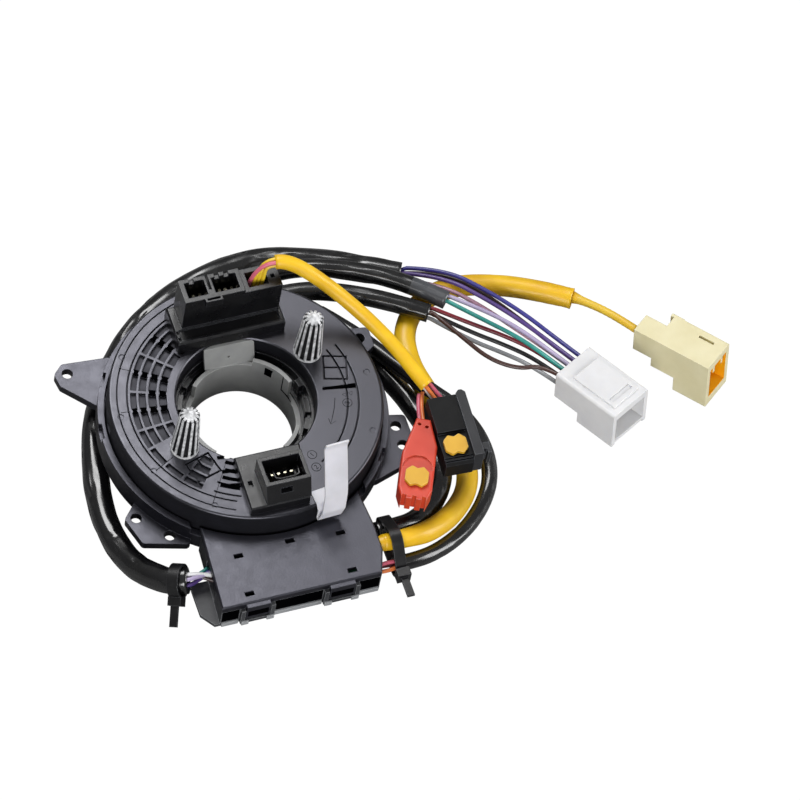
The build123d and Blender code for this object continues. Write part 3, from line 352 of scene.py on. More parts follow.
# Thin wire insulation: the darker and the lighter tone of each colour.
wire_colours = {
    "grey": ("#77797d", "#8f9195"), "black": ("#131315", "#1d1d20"),
    "red": ("#6e1a28", "#85212f"), "brown": ("#3a2420", "#4c302a"),
    "teal": ("#1f7f78", "#35988e"), "lavender": ("#a396b8", "#b8accb"),
    "purple": ("#4a3574", "#5d4688"), "blue": ("#332f7a", "#423f92"),
    "pink": ("#b07f96", "#c59aae"), "dark_brown": ("#2c1c1c", "#3c2626"),
    "rose": ("#c8566e", "#d86f84"), "yellow": ("#d9b524", "#ecca34"),
    "orange": ("#d2682a", "#e07c3c"), "white": ("#d4d4d6", "#e4e4e5"),
}
wire_vinyl = {name: vinyl(f"wire_vinyl_{name}", dark, light, 0.36, 0.15, 0.03)
              for name, (dark, light) in wire_colours.items()}

node_finish = {
    "stator_housing": case_pbt, "bottom_cover": case_pbt, "junction_box_tray": tray_pbt,
    "junction_box_lid": lid_pbt, "terminal_board": board_mask, "ribbon_cable": film_copper,
    "outer_terminal_block": cover_grey, "inner_terminal_block": cover_grey,
    "rotor_cover": cover_pbt, "hub_sleeve": sleeve_acetal, "lock_strip": strip_film,
    **post_nylon,
    "switch_socket_housing": socket_pbt, "switch_socket_pins": contact_tin,
    "horn_socket_housing": socket_pbt, "horn_socket_pins": contact_tin,
    "black_squib_plug": shaded_plug_pbt, "black_squib_cover": cover_grey,
    "black_squib_lock": lock_acetal, "orange_squib_plug": coral_pbt,
    "orange_squib_lock": lock_acetal,
    "white_connector": white_nylon, "white_connector_pins": contact_tin,
    "cream_connector": cream_nylon, "cream_connector_pins": contact_tin,
    "left_cable_tie": tie_nylon, "right_cable_tie": tie_nylon,
}
for node_name, finish in node_finish.items():
    nodes[node_name].data.materials.clear()
    nodes[node_name].data.materials.append(finish)


# ---------------------------------------------------------------- building functions
def as_piece(name, mesh, material, body):
    """Links a mesh as a piece that rides on a body."""
    mesh.materials.append(material)
    piece = bpy.data.objects.new(name, mesh)
    bpy.context.scene.collection.objects.link(piece)
    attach(piece, body)
    return piece


def mesh_from(made, name):
    """The mesh of a bmesh, which is freed."""
    mesh = bpy.data.meshes.new(name)
    made.to_mesh(mesh)
    made.free()
    return mesh


def mesh_of(curve):
    """The shape of a curve as a mesh without materials."""
    holder = bpy.data.objects.new(curve.name, curve)
    bpy.context.scene.collection.objects.link(holder)
    bpy.context.view_layer.update()
    mesh = bpy.data.meshes.new_from_object(holder)
    bpy.data.objects.remove(holder)
    mesh.materials.clear()
    return mesh


def above_floor(route):
    """A route of x, y and height above the surface, in metres in the part's frame."""
    return [Vector((x, y, z + FLOOR)) * MM for x, y, z in route]


def spline_of(route):
    """A NURBS spline with the route's points as its control points."""
    curve = bpy.data.curves.new("route", "CURVE")
    curve.dimensions = "3D"
    curve.resolution_u = 14
    spline = curve.splines.new("NURBS")
    spline.points.add(len(route) - 1)
    for point, place in zip(spline.points, route):
        point.co = (*place, 1.0)
    spline.order_u = 3
    spline.use_endpoint_u = True
    return curve


def line_of(route):
    """The points that a route's spline runs through, from its start to its end."""
    return [vertex.co.copy() for vertex in mesh_of(spline_of(route)).vertices]


def length_of(line):
    """The length of a line of points."""
    return sum((b - a).length for a, b in zip(line, line[1:]))


CORD_STEP = 1.1 * MM      # between the rings of a sleeve


def resampled(line):
    """The same line with evenly spaced points, about CORD_STEP apart."""
    count = max(2, round(length_of(line) / CORD_STEP))
    gap = length_of(line) / count
    points = [line[0].copy()]
    along = 0.0
    for a, b in zip(line, line[1:]):
        run = (b - a).length
        while len(points) < count and along + run >= gap * len(points):
            points.append(a.lerp(b, (gap * len(points) - along) / run))
        along += run
    return points + [line[-1].copy()]


def stretch(line, start, end):
    """The part of a line between two distances along it, in metres."""
    kept = []
    along = 0.0
    for a, b in zip(line, line[1:]):
        if start <= along <= end:
            kept.append(a.copy())
        along += (b - a).length
    return kept


def frames_of(line):
    """A tangent and two cross directions at each point, carried along without twist."""
    made = []
    side = None
    for index, point in enumerate(line):
        ahead = line[min(index + 1, len(line) - 1)]
        behind = line[max(index - 1, 0)]
        tangent = (ahead - behind).normalized()
        if side is None:
            side = tangent.cross(Vector((0, 0, 1))).normalized()
        side = (side - tangent * side.dot(tangent)).normalized()
        made.append((point, tangent, side, side.cross(tangent)))
    return made


LIP_SHARE = 0.35          # thickness of a tube's cut end as a share of its radius
LIP_DEPTH = 1.0           # how deep the end is hollow, in mm


def tube_mesh(name, line, radius_at, around=40):
    """A skin round a line. radius_at gives a radius for a distance, an angle and a point."""
    made = bmesh.new()
    rings = []
    along = 0.0
    frames = frames_of(line)
    for index, (point, _, side, up) in enumerate(frames):
        if index:
            along += (point - frames[index - 1][0]).length
        ring = []
        for step in range(around):
            angle = 2 * math.pi * step / around
            out = side * math.cos(angle) + up * math.sin(angle)
            ring.append(made.verts.new(point + out * radius_at(along, angle, point)))
        rings.append(ring)
    for one, two in zip(rings, rings[1:]):
        for step in range(around):
            after = (step + 1) % around
            made.faces.new((one[step], one[after], two[after], two[step]))
    for end, sign in ((0, -1), (-1, 1)):
        ring, (point, tangent, _, _) = rings[end], frames[end]
        lip = [made.verts.new(point + (v.co - point) * (1 - LIP_SHARE)) for v in ring]
        deep = [made.verts.new(v.co - tangent * sign * LIP_DEPTH * MM) for v in lip]
        for step in range(around):
            after = (step + 1) % around
            made.faces.new((ring[step], lip[step], lip[after], ring[after]))
            made.faces.new((lip[step], deep[step], deep[after], lip[after]))
        made.faces.new(deep)
    bmesh.ops.recalc_face_normals(made, faces=made.faces)
    mesh = mesh_from(made, name)
    for face in mesh.polygons:
        face.use_smooth = True
    return mesh


def soft_sleeve(radius, wrinkle, fold, seed):
    """A radius rule for a soft tube: short wrinkles, long creases and a gentle flattening."""
    wrinkle_length, crease_length, flat_length = 9.0 * MM, 24.0 * MM, 40.0 * MM
    crease_width = 0.16

    def radius_at(along, angle, point):
        around = Vector((math.cos(angle), math.sin(angle), 0))
        short = noise.noise(around * 1.4 + Vector((seed, 0, along / wrinkle_length)))
        long = noise.noise(around * 1.7 + Vector((0, seed, along / crease_length)))
        flat = noise.noise(Vector((seed, seed, along / flat_length)))
        crease = max(0.0, crease_width - abs(long)) / crease_width
        squeeze = 1 - 0.07 * fold * (1 + flat) * math.cos(2 * angle)
        return radius * squeeze * (1 + wrinkle * short - fold * 0.22 * crease ** 2)
    return radius_at


def taped(radius):
    """A radius rule for tape wound down a thin lead: stout at first, with overlapping turns."""
    turn_pitch = 2.2 * MM
    stout_length = 3.0 * MM

    def radius_at(along, angle, point):
        turns = (along / turn_pitch + angle / (2 * math.pi)) % 1.0
        return radius * (0.56 + 0.34 * math.exp(-along / stout_length) + 0.05 * turns)
    return radius_at


def pinched(rule, length):
    """The same radius rule, slimmer at the start, with the last centimetre flat and crumpled."""
    start_share = 0.76
    slim_length, flat_length, crumple_length = 18.0 * MM, 9.0 * MM, 2.5 * MM

    def radius_at(along, angle, point):
        slim = min(1.0, start_share + (1 - start_share) * along / slim_length)
        share = max(0.0, 1 - (length - along) / flat_length)
        crumple = noise.noise(point / crumple_length) * 0.12
        press = 1 - share * (0.22 * math.sin(angle) ** 2 - crumple)
        return rule(along, angle, point) * slim * press
    return radius_at


# -------------------------------------------------------------------------- the cords
harness = {
    # name: (diameter, finish, wrinkle, fold, route as x, y, height)
    "left_harness_tube": (10.0, black_vinyl, 0.05, 0.6, [
        (-32.6, -60.2, 21.8), (-42.0, -58.4, 20.8), (-49.5, -50.8, 14.8), (-54.3, -39.6, 9.0),
        (-56.8, -26.2, 5.8), (-56.4, -11.0, 5.1), (-53.6, 4.0, 5.1), (-48.8, 19.4, 5.1),
        (-40.2, 35.4, 5.1), (-27.6, 51.0, 5.1), (-10.6, 63.4, 5.1), (9.4, 71.0, 5.1),
        (29.4, 73.4, 5.1), (48.6, 69.0, 5.1), (65.6, 61.6, 5.1), (81.4, 53.4, 5.4)]),
    "upper_harness_tube": (7.0, black_vinyl, 0.03, 0.3, [
        (-5.0, 55.0, 4.0), (9.6, 60.2, 5.4), (26.0, 64.2, 9.6), (44.4, 62.6, 12.4),
        (62.0, 56.4, 12.6), (78.6, 47.2, 12.8), (92.6, 35.0, 11.8)]),
    "middle_harness_tube": (7.0, black_vinyl, 0.03, 0.3, [
        (14.0, 50.0, 9.0), (27.0, 52.8, 12.0), (41.4, 52.8, 12.4), (56.4, 47.8, 12.2),
        (71.4, 40.0, 12.4), (84.6, 31.4, 11.8)]),
    "inner_harness_tube": (8.0, black_vinyl, 0.04, 0.4, [
        (32.8, -55.6, 18.6), (45.0, -54.9, 16.8), (54.8, -49.2, 12.0), (63.5, -40.6, 7.6),
        (69.8, -28.8, 4.4), (70.4, -14.6, 4.1), (67.2, 0.6, 4.1), (61.8, 15.4, 4.1),
        (54.4, 29.8, 4.1), (44.4, 42.8, 4.1), (33.2, 53.0, 4.1)]),
    "outer_harness_tube": (6.0, black_vinyl, 0.03, 0.2, [
        (32.8, -69.2, 17.6), (45.0, -68.8, 15.8), (56.4, -64.6, 12.2), (68.3, -57.3, 8.0),
        (79.1, -47.2, 4.6), (86.4, -35.6, 4.2), (87.0, -22.6, 7.6), (81.0, -9.6, 11.8),
        (71.6, 3.0, 12.0), (62.6, 17.2, 12.0), (53.6, 31.2, 12.0), (43.6, 43.0, 11.6)]),
    "airbag_trunk_tube": (8.0, yellow_vinyl, 0.015, 0.1, [
        (32.8, -62.6, 23.2), (45.0, -62.2, 21.4), (56.6, -58.0, 17.0), (68.0, -49.0, 10.6),
        (76.7, -37.6, 5.4), (79.8, -24.2, 4.1), (78.4, -10.4, 4.1), (75.0, 2.8, 4.1),
        (72.0, 16.8, 4.1), (74.0, 31.2, 4.1), (83.4, 41.8, 4.1), (97.6, 45.8, 4.1),
        (113.4, 42.4, 4.2), (128.6, 35.4, 5.0), (140.4, 27.4, 6.4)]),
    "airbag_taped_lead": (5.0, pale_yellow_vinyl, 0.03, 0.2, [
        (141.6, 26.2, 7.4), (145.6, 21.0, 9.8), (151.4, 11.6, 13.2), (156.1, 3.8, 14.6)]),
}
tape_overlap = 3.0 * MM   # the taped lead starts this far inside the trunk
bare_start = {"left_harness_tube": 6.6, "outer_harness_tube": 2.2}     # mm of bare wires

sleeves = {}
lines = {}
for order, (name, (width, finish, wrinkle, fold, route)) in enumerate(harness.items()):
    line = resampled(line_of(above_floor(route)))
    line = stretch(line, bare_start.get(name, 0.0) * MM, 1.0)
    rule = soft_sleeve(width / 2 * MM, wrinkle, fold, 3.7 * order)
    if name == "airbag_taped_lead":
        line = [line[0] - (line[1] - line[0]).normalized() * tape_overlap] + line
        rule = taped(width / 2 * MM)
    elif name == "airbag_trunk_tube":
        rule = pinched(rule, length_of(line))
    sleeves[name] = as_piece(name + "_sleeve", tube_mesh(name + "_sleeve", line, rule), finish,
                             "stator")
    lines[name] = line
    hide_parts(name)

# The taped lead is the last stretch of the airbag cord, on its way into the connector.
for name, (width, *_) in harness.items():
    if name == "airbag_taped_lead":
        continue

FAN_WIRE = 1.6            # diameter over the insulation of a wire in the fan
STRAND = 1.5              # and of a bare wire anywhere else
fan_wires = {
    "fan_wire_grey": [
        (84.2, 30.2, 10.4), (95.4, 20.4, 7.4), (106.6, 12.6, 5.6), (115.8, 4.4, 5.4),
        (122.6, -7.0, 7.2)],
    "fan_wire_black": [
        (85.4, 32.0, 10.4), (96.6, 23.0, 8.2), (108.4, 15.4, 6.0), (118.4, 6.6, 5.2),
        (125.3, -5.5, 7.0)],
    "fan_wire_red": [
        (86.0, 32.6, 12.8), (97.8, 25.2, 9.8), (110.6, 18.0, 6.4), (121.0, 8.6, 5.2),
        (128.0, -4.1, 6.9)],
    "fan_wire_brown": [
        (84.8, 30.4, 13.6), (91.6, 18.6, 13.6), (99.0, 8.0, 11.4), (108.8, 1.6, 10.4),
        (117.2, 0.8, 11.0), (122.5, -6.2, 12.1)],
    "fan_wire_teal": [
        (92.2, 34.2, 12.8), (102.4, 23.4, 13.0), (112.2, 14.6, 11.6), (119.0, 6.6, 10.4),
        (125.2, -4.8, 12.0)],
    "fan_wire_lavender": [
        (93.8, 36.0, 12.8), (104.4, 26.6, 13.4), (114.0, 17.6, 11.8), (121.4, 8.4, 10.2),
        (127.8, -3.4, 11.9)],
    "fan_wire_purple": [
        (81.8, 53.0, 7.8), (93.6, 45.2, 13.0), (105.6, 32.4, 13.0), (116.0, 20.4, 11.8),
        (124.0, 10.0, 10.0), (130.5, -2.0, 11.7)],
    "fan_wire_blue": [
        (83.0, 55.2, 7.6), (95.2, 48.4, 12.6), (108.0, 35.2, 12.6), (118.6, 22.8, 11.4),
        (126.6, 11.4, 9.8), (133.1, -0.6, 11.6)],
    "fan_wire_pink": [
        (81.4, 52.2, 4.8), (92.6, 43.4, 10.4), (104.6, 31.0, 9.8), (115.2, 19.4, 6.8),
        (123.8, 9.6, 4.8), (130.6, -2.7, 6.8)],
    "fan_wire_dark_brown": [
        (83.0, 55.0, 4.4), (95.4, 48.6, 9.8), (107.8, 36.0, 9.4), (118.6, 22.4, 6.6),
        (126.6, 11.0, 4.7), (133.3, -1.3, 6.7)],
}


def wire(name, route, width, colour, body):
    """One insulated wire as a round curve."""
    curve = spline_of(route)
    curve.bevel_depth = width / 2 * MM
    curve.bevel_resolution = 4
    curve.use_fill_caps = True
    curve.materials.append(wire_vinyl[colour])
    piece = bpy.data.objects.new(name, curve)
    bpy.context.scene.collection.objects.link(piece)
    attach(piece, body)
    return piece


for name, route in fan_wires.items():
    colour = name.removeprefix("fan_wire_")
    route = above_floor(route)
    piece = wire(name + "_insulation", route, FAN_WIRE, colour, "stator")
    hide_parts(name)
    length_of(line_of(route))

# ------------------------------------------------------------------- the squib lead
squib_width = 5.4
squib_route = [
    (13.2, 35.7, 52.2), (13.4, 35.8, 57.6), (15.4, 36.6, 62.4), (20.0, 37.0, 65.2),
    (26.2, 35.2, 63.6), (32.8, 31.4, 59.4), (39.8, 27.0, 53.6), (46.2, 21.5, 48.4),
    (52.4, 14.3, 44.2), (58.9, 3.8, 40.4), (64.0, -8.0, 37.0), (66.9, -13.6, 35.2),
    (67.9, -16.8, 34.4)]
squib_line = resampled(line_of(above_floor(squib_route)))
well_reach = 15.0 * MM    # bare wires from the socket to the sleeve
plug_reach = 6.0 * MM     # and from the sleeve to the plug
sleeve_line = stretch(squib_line, well_reach, length_of(squib_line) - plug_reach)
squib_sleeve = as_piece("squib_lead_sleeve",
                        tube_mesh("squib_lead_sleeve", sleeve_line,
                                  soft_sleeve(squib_width / 2 * MM, 0.012, 0.1, 5.3)),
                        yellow_vinyl, "rotor")
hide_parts("squib_lead")


def around_line(frame, degrees):
    """The direction away from a line at one of its frames, at an angle about it."""
    _, _, side, up = frame
    angle = math.radians(degrees)
    return side * math.cos(angle) + up * math.sin(angle)


well_floor = 52.0 + FLOOR               # its wires start here inside the squib's well
well_wires = [("rose", 10.9, 36.4), ("yellow", 12.4, 36.0), ("yellow", 13.9, 35.6),
              ("yellow", 15.4, 35.2)]
start_frame = frames_of(sleeve_line)[2]
end_frame = frames_of(sleeve_line)[-3]
point, tangent, _, _ = start_frame
for order, (colour, x, y) in enumerate(well_wires):
    inner = point + around_line(start_frame, 45 + 90 * order) * 1.2 * MM
    low = Vector((x, y, well_floor)) * MM
    route = [low, low + Vector((0, 0, 6.5)) * MM, inner - tangent * 5.0 * MM,
             inner + tangent * 2 * MM]
    wire(f"well_wire_{order}", route, STRAND, colour, "rotor")
point, tangent, _, _ = end_frame
for order, colour in enumerate(("orange", "rose", "white")):
    aside = around_line(end_frame, 30 + 120 * order)
    route = [point - tangent * 2 * MM + aside * 1.2 * MM,
             point + tangent * 3 * MM + aside * 1.4 * MM,
             squib_line[-1] + aside * 1.6 * MM + tangent * 1.5 * MM]
    wire(f"plug_wire_{order}", route, STRAND, colour, "rotor")

# The branch to the orange plug is a pair of single wires side by side.
orange_route = above_floor([(63.6, -11.1, 31.8), (61.0, -16.9, 32.0), (60.0, -23.2, 32.4)])
for order, (colour, aside) in enumerate((("orange", 0.7), ("rose", -0.7))):
    lead = wire(f"orange_squib_branch_{order}",
                [place + Vector((aside, 0.35 * aside, 0)) * MM for place in orange_route],
                STRAND, colour, "rotor")
    if not order:
        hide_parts("orange_squib_lead")


def bare_wires(name, line, colours, spread, width, start_x):
    """Wires that come out of the box in a loose row and go into the mouth of a sleeve."""
    mouth_frame = frames_of(line)[3]
    point, tangent, _, _ = mouth_frame
    for order, colour in enumerate(colours):
        share = order / (len(colours) - 1) - 0.5
        aside = around_line(mouth_frame, 360 * order / len(colours))
        out = Vector((start_x * MM, point.y + share * spread * MM, point.z + aside.z * 2.0 * MM))
        mouth = point - tangent * 3.0 * MM + aside * 0.5 * width * MM
        route = [out, out.lerp(mouth, 0.45) + aside * 0.5 * MM, mouth, mouth + tangent * 5.0 * MM]
        bare = wire(f"{name}_{order}", route, STRAND, colour, "stator")


bare_wires("left_bare_wire", lines["left_harness_tube"],
           ("dark_brown", "white", "lavender", "purple", "blue", "teal"), 6.4, 5.0, -29.8)
bare_wires("right_bare_wire", lines["outer_harness_tube"], ("orange", "rose", "red"), 3.0, 2.6,
           29.4)

# The trunk comes out of the box through a narrower root.
trunk = lines["airbag_trunk_tube"]
root_radius = 2.8 * MM
root_line = resampled([Vector((27.0, -62.4, 10.6)) * MM, Vector((30.4, -62.6, 12.4)) * MM,
                       trunk[0].copy(), trunk[3].copy()])
as_piece("trunk_root", tube_mesh("trunk_root", root_line, lambda *_: root_radius), yellow_vinyl,
         "stator")

# Every fan wire reaches back into the mouth of the nearest sleeve.
mouth_room = 1.9 * MM     # how far from the middle of a mouth a wire may lie
for name, route in fan_wires.items():
    colour = name.removeprefix("fan_wire_")
    start, ahead = above_floor(route)[:2]
    ends = [(lines[tube][-1], (lines[tube][-1] - lines[tube][-4]).normalized())
            for tube in ("left_harness_tube", "upper_harness_tube", "middle_harness_tube")]
    mouth, tangent = min(ends, key=lambda end: (end[0] - start).length)
    aside = start - mouth
    aside -= tangent * aside.dot(tangent)
    aside = aside.normalized() * min(aside.length, mouth_room)
    heading = (ahead - start).normalized()
    stub = wire(name + "_root", [mouth + aside - tangent * 2.5 * MM, mouth + aside,
                                 start - heading * 0.4 * MM, start + heading * 1.5 * MM],
                FAN_WIRE - 0.1, colour, "stator")


# --------------------------------------------------------- details of the box's front
def slab_blocks(name, blocks, material):
    """Upright blocks between two corners each, as one piece; in millimetres."""
    made = bmesh.new()
    for low, high in blocks:
        corners = [made.verts.new(Vector((x, y, z)) * MM) for z in (low[2], high[2])
                   for x, y in ((low[0], low[1]), (high[0], low[1]), (high[0], high[1]),
                                (low[0], high[1]))]
        made.faces.new(corners[3::-1])
        made.faces.new(corners[4:])
        for here in range(4):
            after = (here + 1) % 4
            made.faces.new((corners[here], corners[after], corners[4 + after], corners[4 + here]))
    bmesh.ops.bevel(made, geom=made.edges[:], offset=0.12 * MM, segments=2, affect="EDGES")
    as_piece(name, mesh_from(made, name), material, "stator")


BOX_FRONT = -75.8
GAP_RUNS = [(-31.6, -25.3), (-11.9, 6.3), (20.1, 27.8)]     # open stretches under the lid
HOOK_RUNS = [(-23.3, -13.7), (8.1, 18.3)]                   # the two hooks between them
LIP_HALF = 1.4                                              # half a pale lip at a hook's end
slab_blocks("lid_gap_shade", [((x0, BOX_FRONT - 0.12, 7.4), (x1, BOX_FRONT + 0.3, 13.9))
                              for x0, x1 in GAP_RUNS], painted_shade_black)
slab_blocks("tray_rim", [((x0, BOX_FRONT - 0.7, 4.8), (x1, BOX_FRONT + 0.3, 7.0))
                         for x0, x1 in GAP_RUNS], pale_rim)
slab_blocks("hook_lips", [((x - LIP_HALF, BOX_FRONT - 2.3, 5.6),
                           (x + LIP_HALF, BOX_FRONT - 1.4, 7.6))
                          for run in HOOK_RUNS for x in run], pale_rim)
slab_blocks("hook_shade", [((x0 + 0.9, BOX_FRONT - 1.75, 10.2), (x1 - 0.9, BOX_FRONT - 1.4, 13.4))
                           for x0, x1 in HOOK_RUNS], painted_shade_black)


# --------------------------------------------------------- details of the rotor's top
def on_rotor(radius, angle, height):
    """A point on the rotor, from its radius and height in mm and its angle in degrees."""
    turn = math.radians(angle)
    return Vector((radius * math.cos(turn), radius * math.sin(turn), height)) * MM


def ring_blocks(name, blocks, material):
    """Blocks of rings about the bore: inner, outer, start, end, low and high for each."""
    made = bmesh.new()
    for inner, outer, start, end, low, high in blocks:
        steps = max(2, round((end - start) / 3))
        rows = []
        for step in range(steps + 1):
            angle = start + (end - start) * step / steps
            rows.append([made.verts.new(on_rotor(radius, angle, z)) for radius, z in
                         ((inner, low), (inner, high), (outer, high), (outer, low))])
        for one, two in zip(rows, rows[1:]):
            for here in range(4):
                after = (here + 1) % 4
                made.faces.new((one[here], one[after], two[after], two[here]))
        made.faces.new(rows[0])
        made.faces.new(rows[-1][::-1])
    bmesh.ops.recalc_face_normals(made, faces=made.faces)
    as_piece(name, mesh_from(made, name), material, "rotor")


FLUSH = ROTOR_TOP + 0.03  # the painted shade of the openings lies just over the plate
SHADE_FOOT = ROTOR_TOP - 0.4
pocket_rows = [(28.8, 31.6), (32.6, 35.4), (36.4, 38.9), (39.8, 41.9)]
window_width = 2.3
windows = []
for angle, rows in ((127.0, (1, 2, 3)), (150.0, (0, 1, 2, 3)), (161.5, (0, 1)),
                    (173.0, (0, 1, 2, 3))):
    for row in rows:
        inner, outer = pocket_rows[row]
        half = math.degrees(window_width / 2 / outer)
        windows.append((inner + 0.2, outer - 0.2, angle - half, angle + half))
slots = [(radius - 0.75, radius + 0.75, -122.0 - 1.5 * (radius < 30), -111.0)
         for radius in (28.0, 31.2, 34.4, 37.8)]
seams = [(42.6, 47.2, 149.8, 150.1), (42.6, 46.0, 172.9, 173.2), (36.8, 45.3, -153.2, -152.9),
         (28.6, 45.7, -122.9, -122.6), (28.2, 40.6, -6.9, -4.9), (28.4, 41.2, 93.0, 93.5)]
# Near-black plates just over the plate: painted shade in the deep windows and slots, and dark seam
# lines.
ring_blocks("painted_shade_openings", [(*cut, SHADE_FOOT, FLUSH) for cut in windows + slots + seams],
            painted_shade_black)

# Black ledges step down from the plate to the grey sleeve, with a few taller stops.
LEDGE_FOOT = 11.9
ledges = [(24.4, 25.4, -180, 180, LEDGE_FOOT, 20.4), (23.2, 24.5, -180, 180, LEDGE_FOOT, 16.0),
          (21.3, 23.3, -180, 180, LEDGE_FOOT, 13.2)]
stops = [(22.4, 25.3, start, end, LEDGE_FOOT, high) for start, end, high in
         ((-34, -22, 19.0), (-14, 2, 17.4), (10, 18, 20.0), (128, 140, 18.0), (150, 166, 19.4),
          (182, 196, 17.0), (214, 224, 19.0), (300, 312, 18.2))]
ring_blocks("neck_ledges", ledges + stops, socket_pbt)

# Painted shade: a dark patch for the window in the sleeve's tall tab, and a dark line down its
# stepped edge.
tab_shades = [(41.0, 49.5, 15.2, 19.8), (25.4, 26.6, 12.8, 21.3), (8.0, 26.6, 12.1, 12.8)]
ring_blocks("tab_shades", [(19.44, 19.6, *shade) for shade in tab_shades], painted_shade_black)


MARK_RISE = 0.06          # half the thickness of a raised mark


def raised_mark(name, mesh, place, turn):
    """A thin moulded mark on the rotor's plate."""
    piece = as_piece(name, mesh, mark_pbt, "rotor")
    piece.data.transform(Matrix.Translation(Vector((*place, FLUSH - MARK_RISE)) * MM)
                         @ Matrix.Rotation(math.radians(turn), 4, "Z"))


def figure_mesh(text, height):
    """A plain figure as a thin solid about its own middle."""
    curve = bpy.data.curves.new("figure", "FONT")
    curve.body = text
    curve.size = height * MM
    curve.extrude = MARK_RISE * MM
    curve.align_x = "CENTER"
    curve.align_y = "CENTER"
    return mesh_of(curve)


def outline_mesh(points, width, closed=True):
    """A thin line through points, as a solid ribbon in the plane; in millimetres."""
    curve = bpy.data.curves.new("outline", "CURVE")
    curve.dimensions = "3D"
    spline = curve.splines.new("POLY")
    spline.points.add(len(points) - 1)
    for point, (x, y) in zip(spline.points, points):
        point.co = (x * MM, y * MM, 0, 1)
    spline.use_cyclic_u = closed
    curve.bevel_depth = width / 2 * MM
    curve.bevel_resolution = 1
    return mesh_of(curve)


ring_radius = 1.7
circle = [(ring_radius * math.cos(k * math.pi / 12), ring_radius * math.sin(k * math.pi / 12))
          for k in range(24)]
for figure, place, turn in (("1", (15.9, -28.3), 29.0), ("2", (15.8, -33.6), 25.0),
                            ("3", (35.1, -10.7), 73.0)):
    raised_mark("figure_" + figure, figure_mesh(figure, 2.6), place, turn)
    raised_mark("figure_ring_" + figure, outline_mesh(circle, 0.26), place, 0)
arrow = [(31.3, -7.7), (29.9, -11.4), (28.0, -15.0), (26.5, -17.8), (28.6, -17.0), (26.5, -17.8),
         (26.4, -15.4)]
raised_mark("turn_arrow", outline_mesh(arrow, 0.3, closed=False), (0, 0), 0)
for order, (x, y) in enumerate(((35.1, -7.2), (37.4, -7.1))):
    raised_mark(f"triangle_{order}", outline_mesh([(-0.8, -0.6), (0.8, -0.6), (0, 0.9)], 0.24),
                (x, y), 70)

# The guide in the horn socket: a bar with both ends turned up.
guide_height = 33.6
guide_radius = 0.65 * MM
guide_line = [Vector((x, y, guide_height)) * MM for x, y in
              ((-1.8, -34.0), (-1.8, -36.6), (-1.6, -38.2), (0.2, -38.8), (5.6, -38.8),
               (7.2, -38.2), (7.4, -36.6), (7.4, -34.0))]
as_piece("horn_guide", tube_mesh("horn_guide", guide_line, lambda *_: guide_radius, around=12),
         socket_pbt, "rotor")

# The cream connector in its own frame: length from the rear, width from one side, height.
CREAM_PLACE = Vector((159.8, 3.0, 0.0))
CREAM_TURN = (-52.5, -8.0, -2.0)      # heading, pitch and roll in degrees
CREAM_MIDDLE = 7.3                    # half its width
MOUTH_BACK, MOUTH_FRONT = 17.0, 32.0
MOUTH_REACH = 5.6                     # to either side of the middle
MOUTH_LOW, MOUTH_HIGH = 3.8, 19.8
STEP_WALL_MIDDLE = Vector((17.7, CREAM_MIDDLE, 5.4))
STEP_WALL_SIZE = Vector((0.5, 11.2, 3.8))


def light_the_mouth():
    """Colours the faces inside the cream connector's mouth amber and closes its lowest step."""
    mesh = nodes["cream_connector"].data
    heading, pitch, roll = (math.radians(angle) for angle in CREAM_TURN)
    turn = (Matrix.Rotation(heading, 3, "Z") @ Matrix.Rotation(pitch, 3, "Y")
            @ Matrix.Rotation(roll, 3, "X"))
    back = turn.transposed()
    local = [back @ (vertex.co / MM - CREAM_PLACE) for vertex in mesh.vertices]
    corner = Vector([min(place[axis] for place in local) for axis in range(3)])
    mesh.materials.append(amber_glow)
    for face in mesh.polygons:
        x, y, z = (sum(local[v][axis] for v in face.vertices) / len(face.vertices) - corner[axis]
                   for axis in range(3))
        if (MOUTH_BACK < x < MOUTH_FRONT and abs(y - CREAM_MIDDLE) < MOUTH_REACH
                and MOUTH_LOW < z < MOUTH_HIGH):
            face.material_index = 1
    made = bmesh.new()
    bmesh.ops.create_cube(made, size=1.0)
    for vertex in made.verts:
        place = corner + STEP_WALL_MIDDLE + STEP_WALL_SIZE * vertex.co
        vertex.co = (CREAM_PLACE + turn @ place) * MM
    piece = as_piece("cream_step_wall", mesh_from(made, "cream_step_wall"), cream_nylon,
                     "stator")
    piece.data.materials.append(amber_glow)
    for face in piece.data.polygons:
        if (back @ face.normal).x > 0.9:
            face.material_index = 1


light_the_mouth()

# The end of the upper sleeve has gone grey and half clear; it takes the grey finish.
smoky_length = 15.0 * MM
upper = sleeves["upper_harness_tube"].data
upper.materials.append(smoky_vinyl)
for face in upper.polygons:
    if (face.center - lines["upper_harness_tube"][-1]).length < smoky_length:
        face.material_index = 1


# --------------------------------------------------------------------------- stage
LAMPS = {
    # name: (place in metres, size, watts)
    "ceiling_lamp": ((-0.05, 0.47, 0.80), 0.5, 6.4),      # its reflection lights the tops
    "front_lamp": ((-0.5, -1.4, 0.6), 0.9, 18.0),
    "right_lamp": ((1.4, -0.5, 0.55), 0.8, 13.0),
}
ROOM_LOW, ROOM_HIGH = 0.14, 0.3       # what the room adds from near the floor and from above
PAPER_GLOW = 1.14                     # the camera sees the paper as plain white
PAPER_GLOW_SHARE = 0.88               # and the rest of it keeps the part's shadow


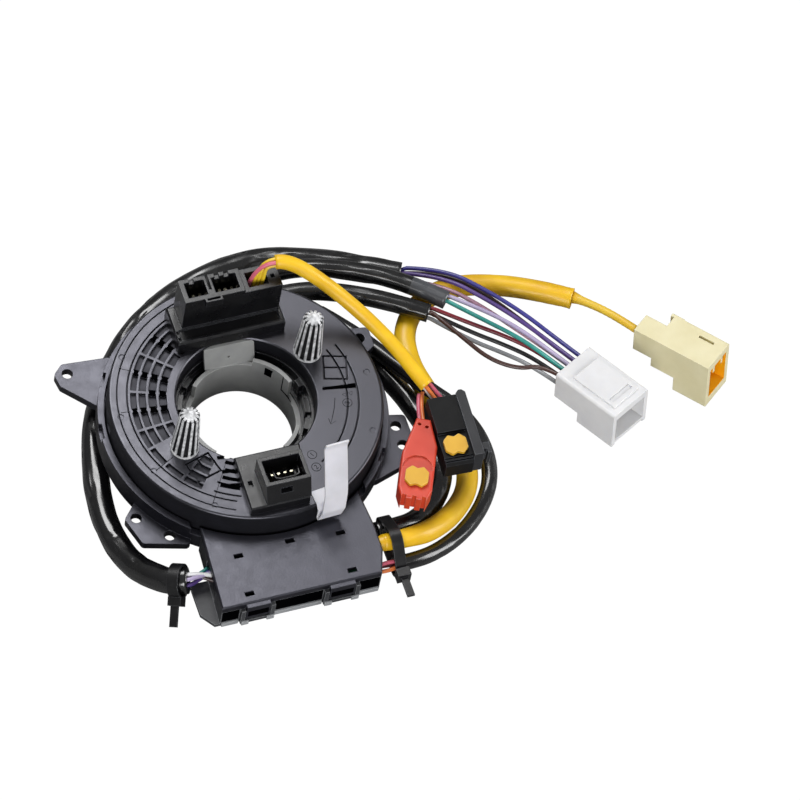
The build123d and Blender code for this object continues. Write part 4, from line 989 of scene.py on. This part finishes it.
def set_stage():
    """A sheet of paper under the part, a bright ceiling lamp behind it and fill from the front."""
    bpy.context.scene.view_settings.view_transform = "Standard"
    world = bpy.data.worlds.new("surround")
    bpy.context.scene.world = world
    world.use_nodes = True
    tree = world.node_tree
    background = tree.nodes["Background"]
    height = add(tree, "ShaderNodeSeparateXYZ",
                 Vector=add(tree, "ShaderNodeTexCoord").outputs["Generated"]).outputs["Z"]
    room = add(tree, "ShaderNodeMapRange", Value=height, From_Min=0.2, From_Max=0.9,
               To_Min=ROOM_LOW, To_Max=ROOM_HIGH)
    seen = add(tree, "ShaderNodeLightPath").outputs["Is Camera Ray"]
    level = add(tree, "ShaderNodeMath", {"operation": "MAXIMUM"}, i0=room, i1=seen)
    background.inputs["Color"].default_value = linear("#ffffff")
    tree.links.new(level.outputs[0], background.inputs["Strength"])
    for name, (place, size, watts) in LAMPS.items():
        soft_box(name, place, size, watts)
    bpy.ops.mesh.primitive_grid_add(x_subdivisions=2, y_subdivisions=2, size=12,
                                    location=(0, 0, FLOOR * MM - 0.0002))
    floor = bpy.context.object
    floor.name = "floor"
    material, tree, shader, place = new_finish("paper_sweep")
    fibres = add(tree, "ShaderNodeTexNoise", Vector=place, Scale=grains(40.0), Detail=2.0)
    paper = add(tree, "ShaderNodeValToRGB", stops=[(0.0, "#787878"), (1.0, "#808080")],
                Fac=fibres)
    tree.links.new(paper.outputs["Color"], shader.inputs["Base Color"])
    shader.inputs["Roughness"].default_value = 0.8
    shader.inputs["Specular IOR Level"].default_value = 0.1
    seen = add(tree, "ShaderNodeLightPath").outputs["Is Camera Ray"]
    white = add(tree, "ShaderNodeEmission", Color=linear("#ffffff"), Strength=PAPER_GLOW)
    share = add(tree, "ShaderNodeMath", {"operation": "MULTIPLY"}, i0=seen, i1=PAPER_GLOW_SHARE)
    mixed = add(tree, "ShaderNodeMixShader", i0=share, i1=shader, i2=white)
    tree.links.new(mixed.outputs[0], tree.nodes["Material Output"].inputs["Surface"])
    floor.data.materials.append(material)


set_camera()
set_stage()
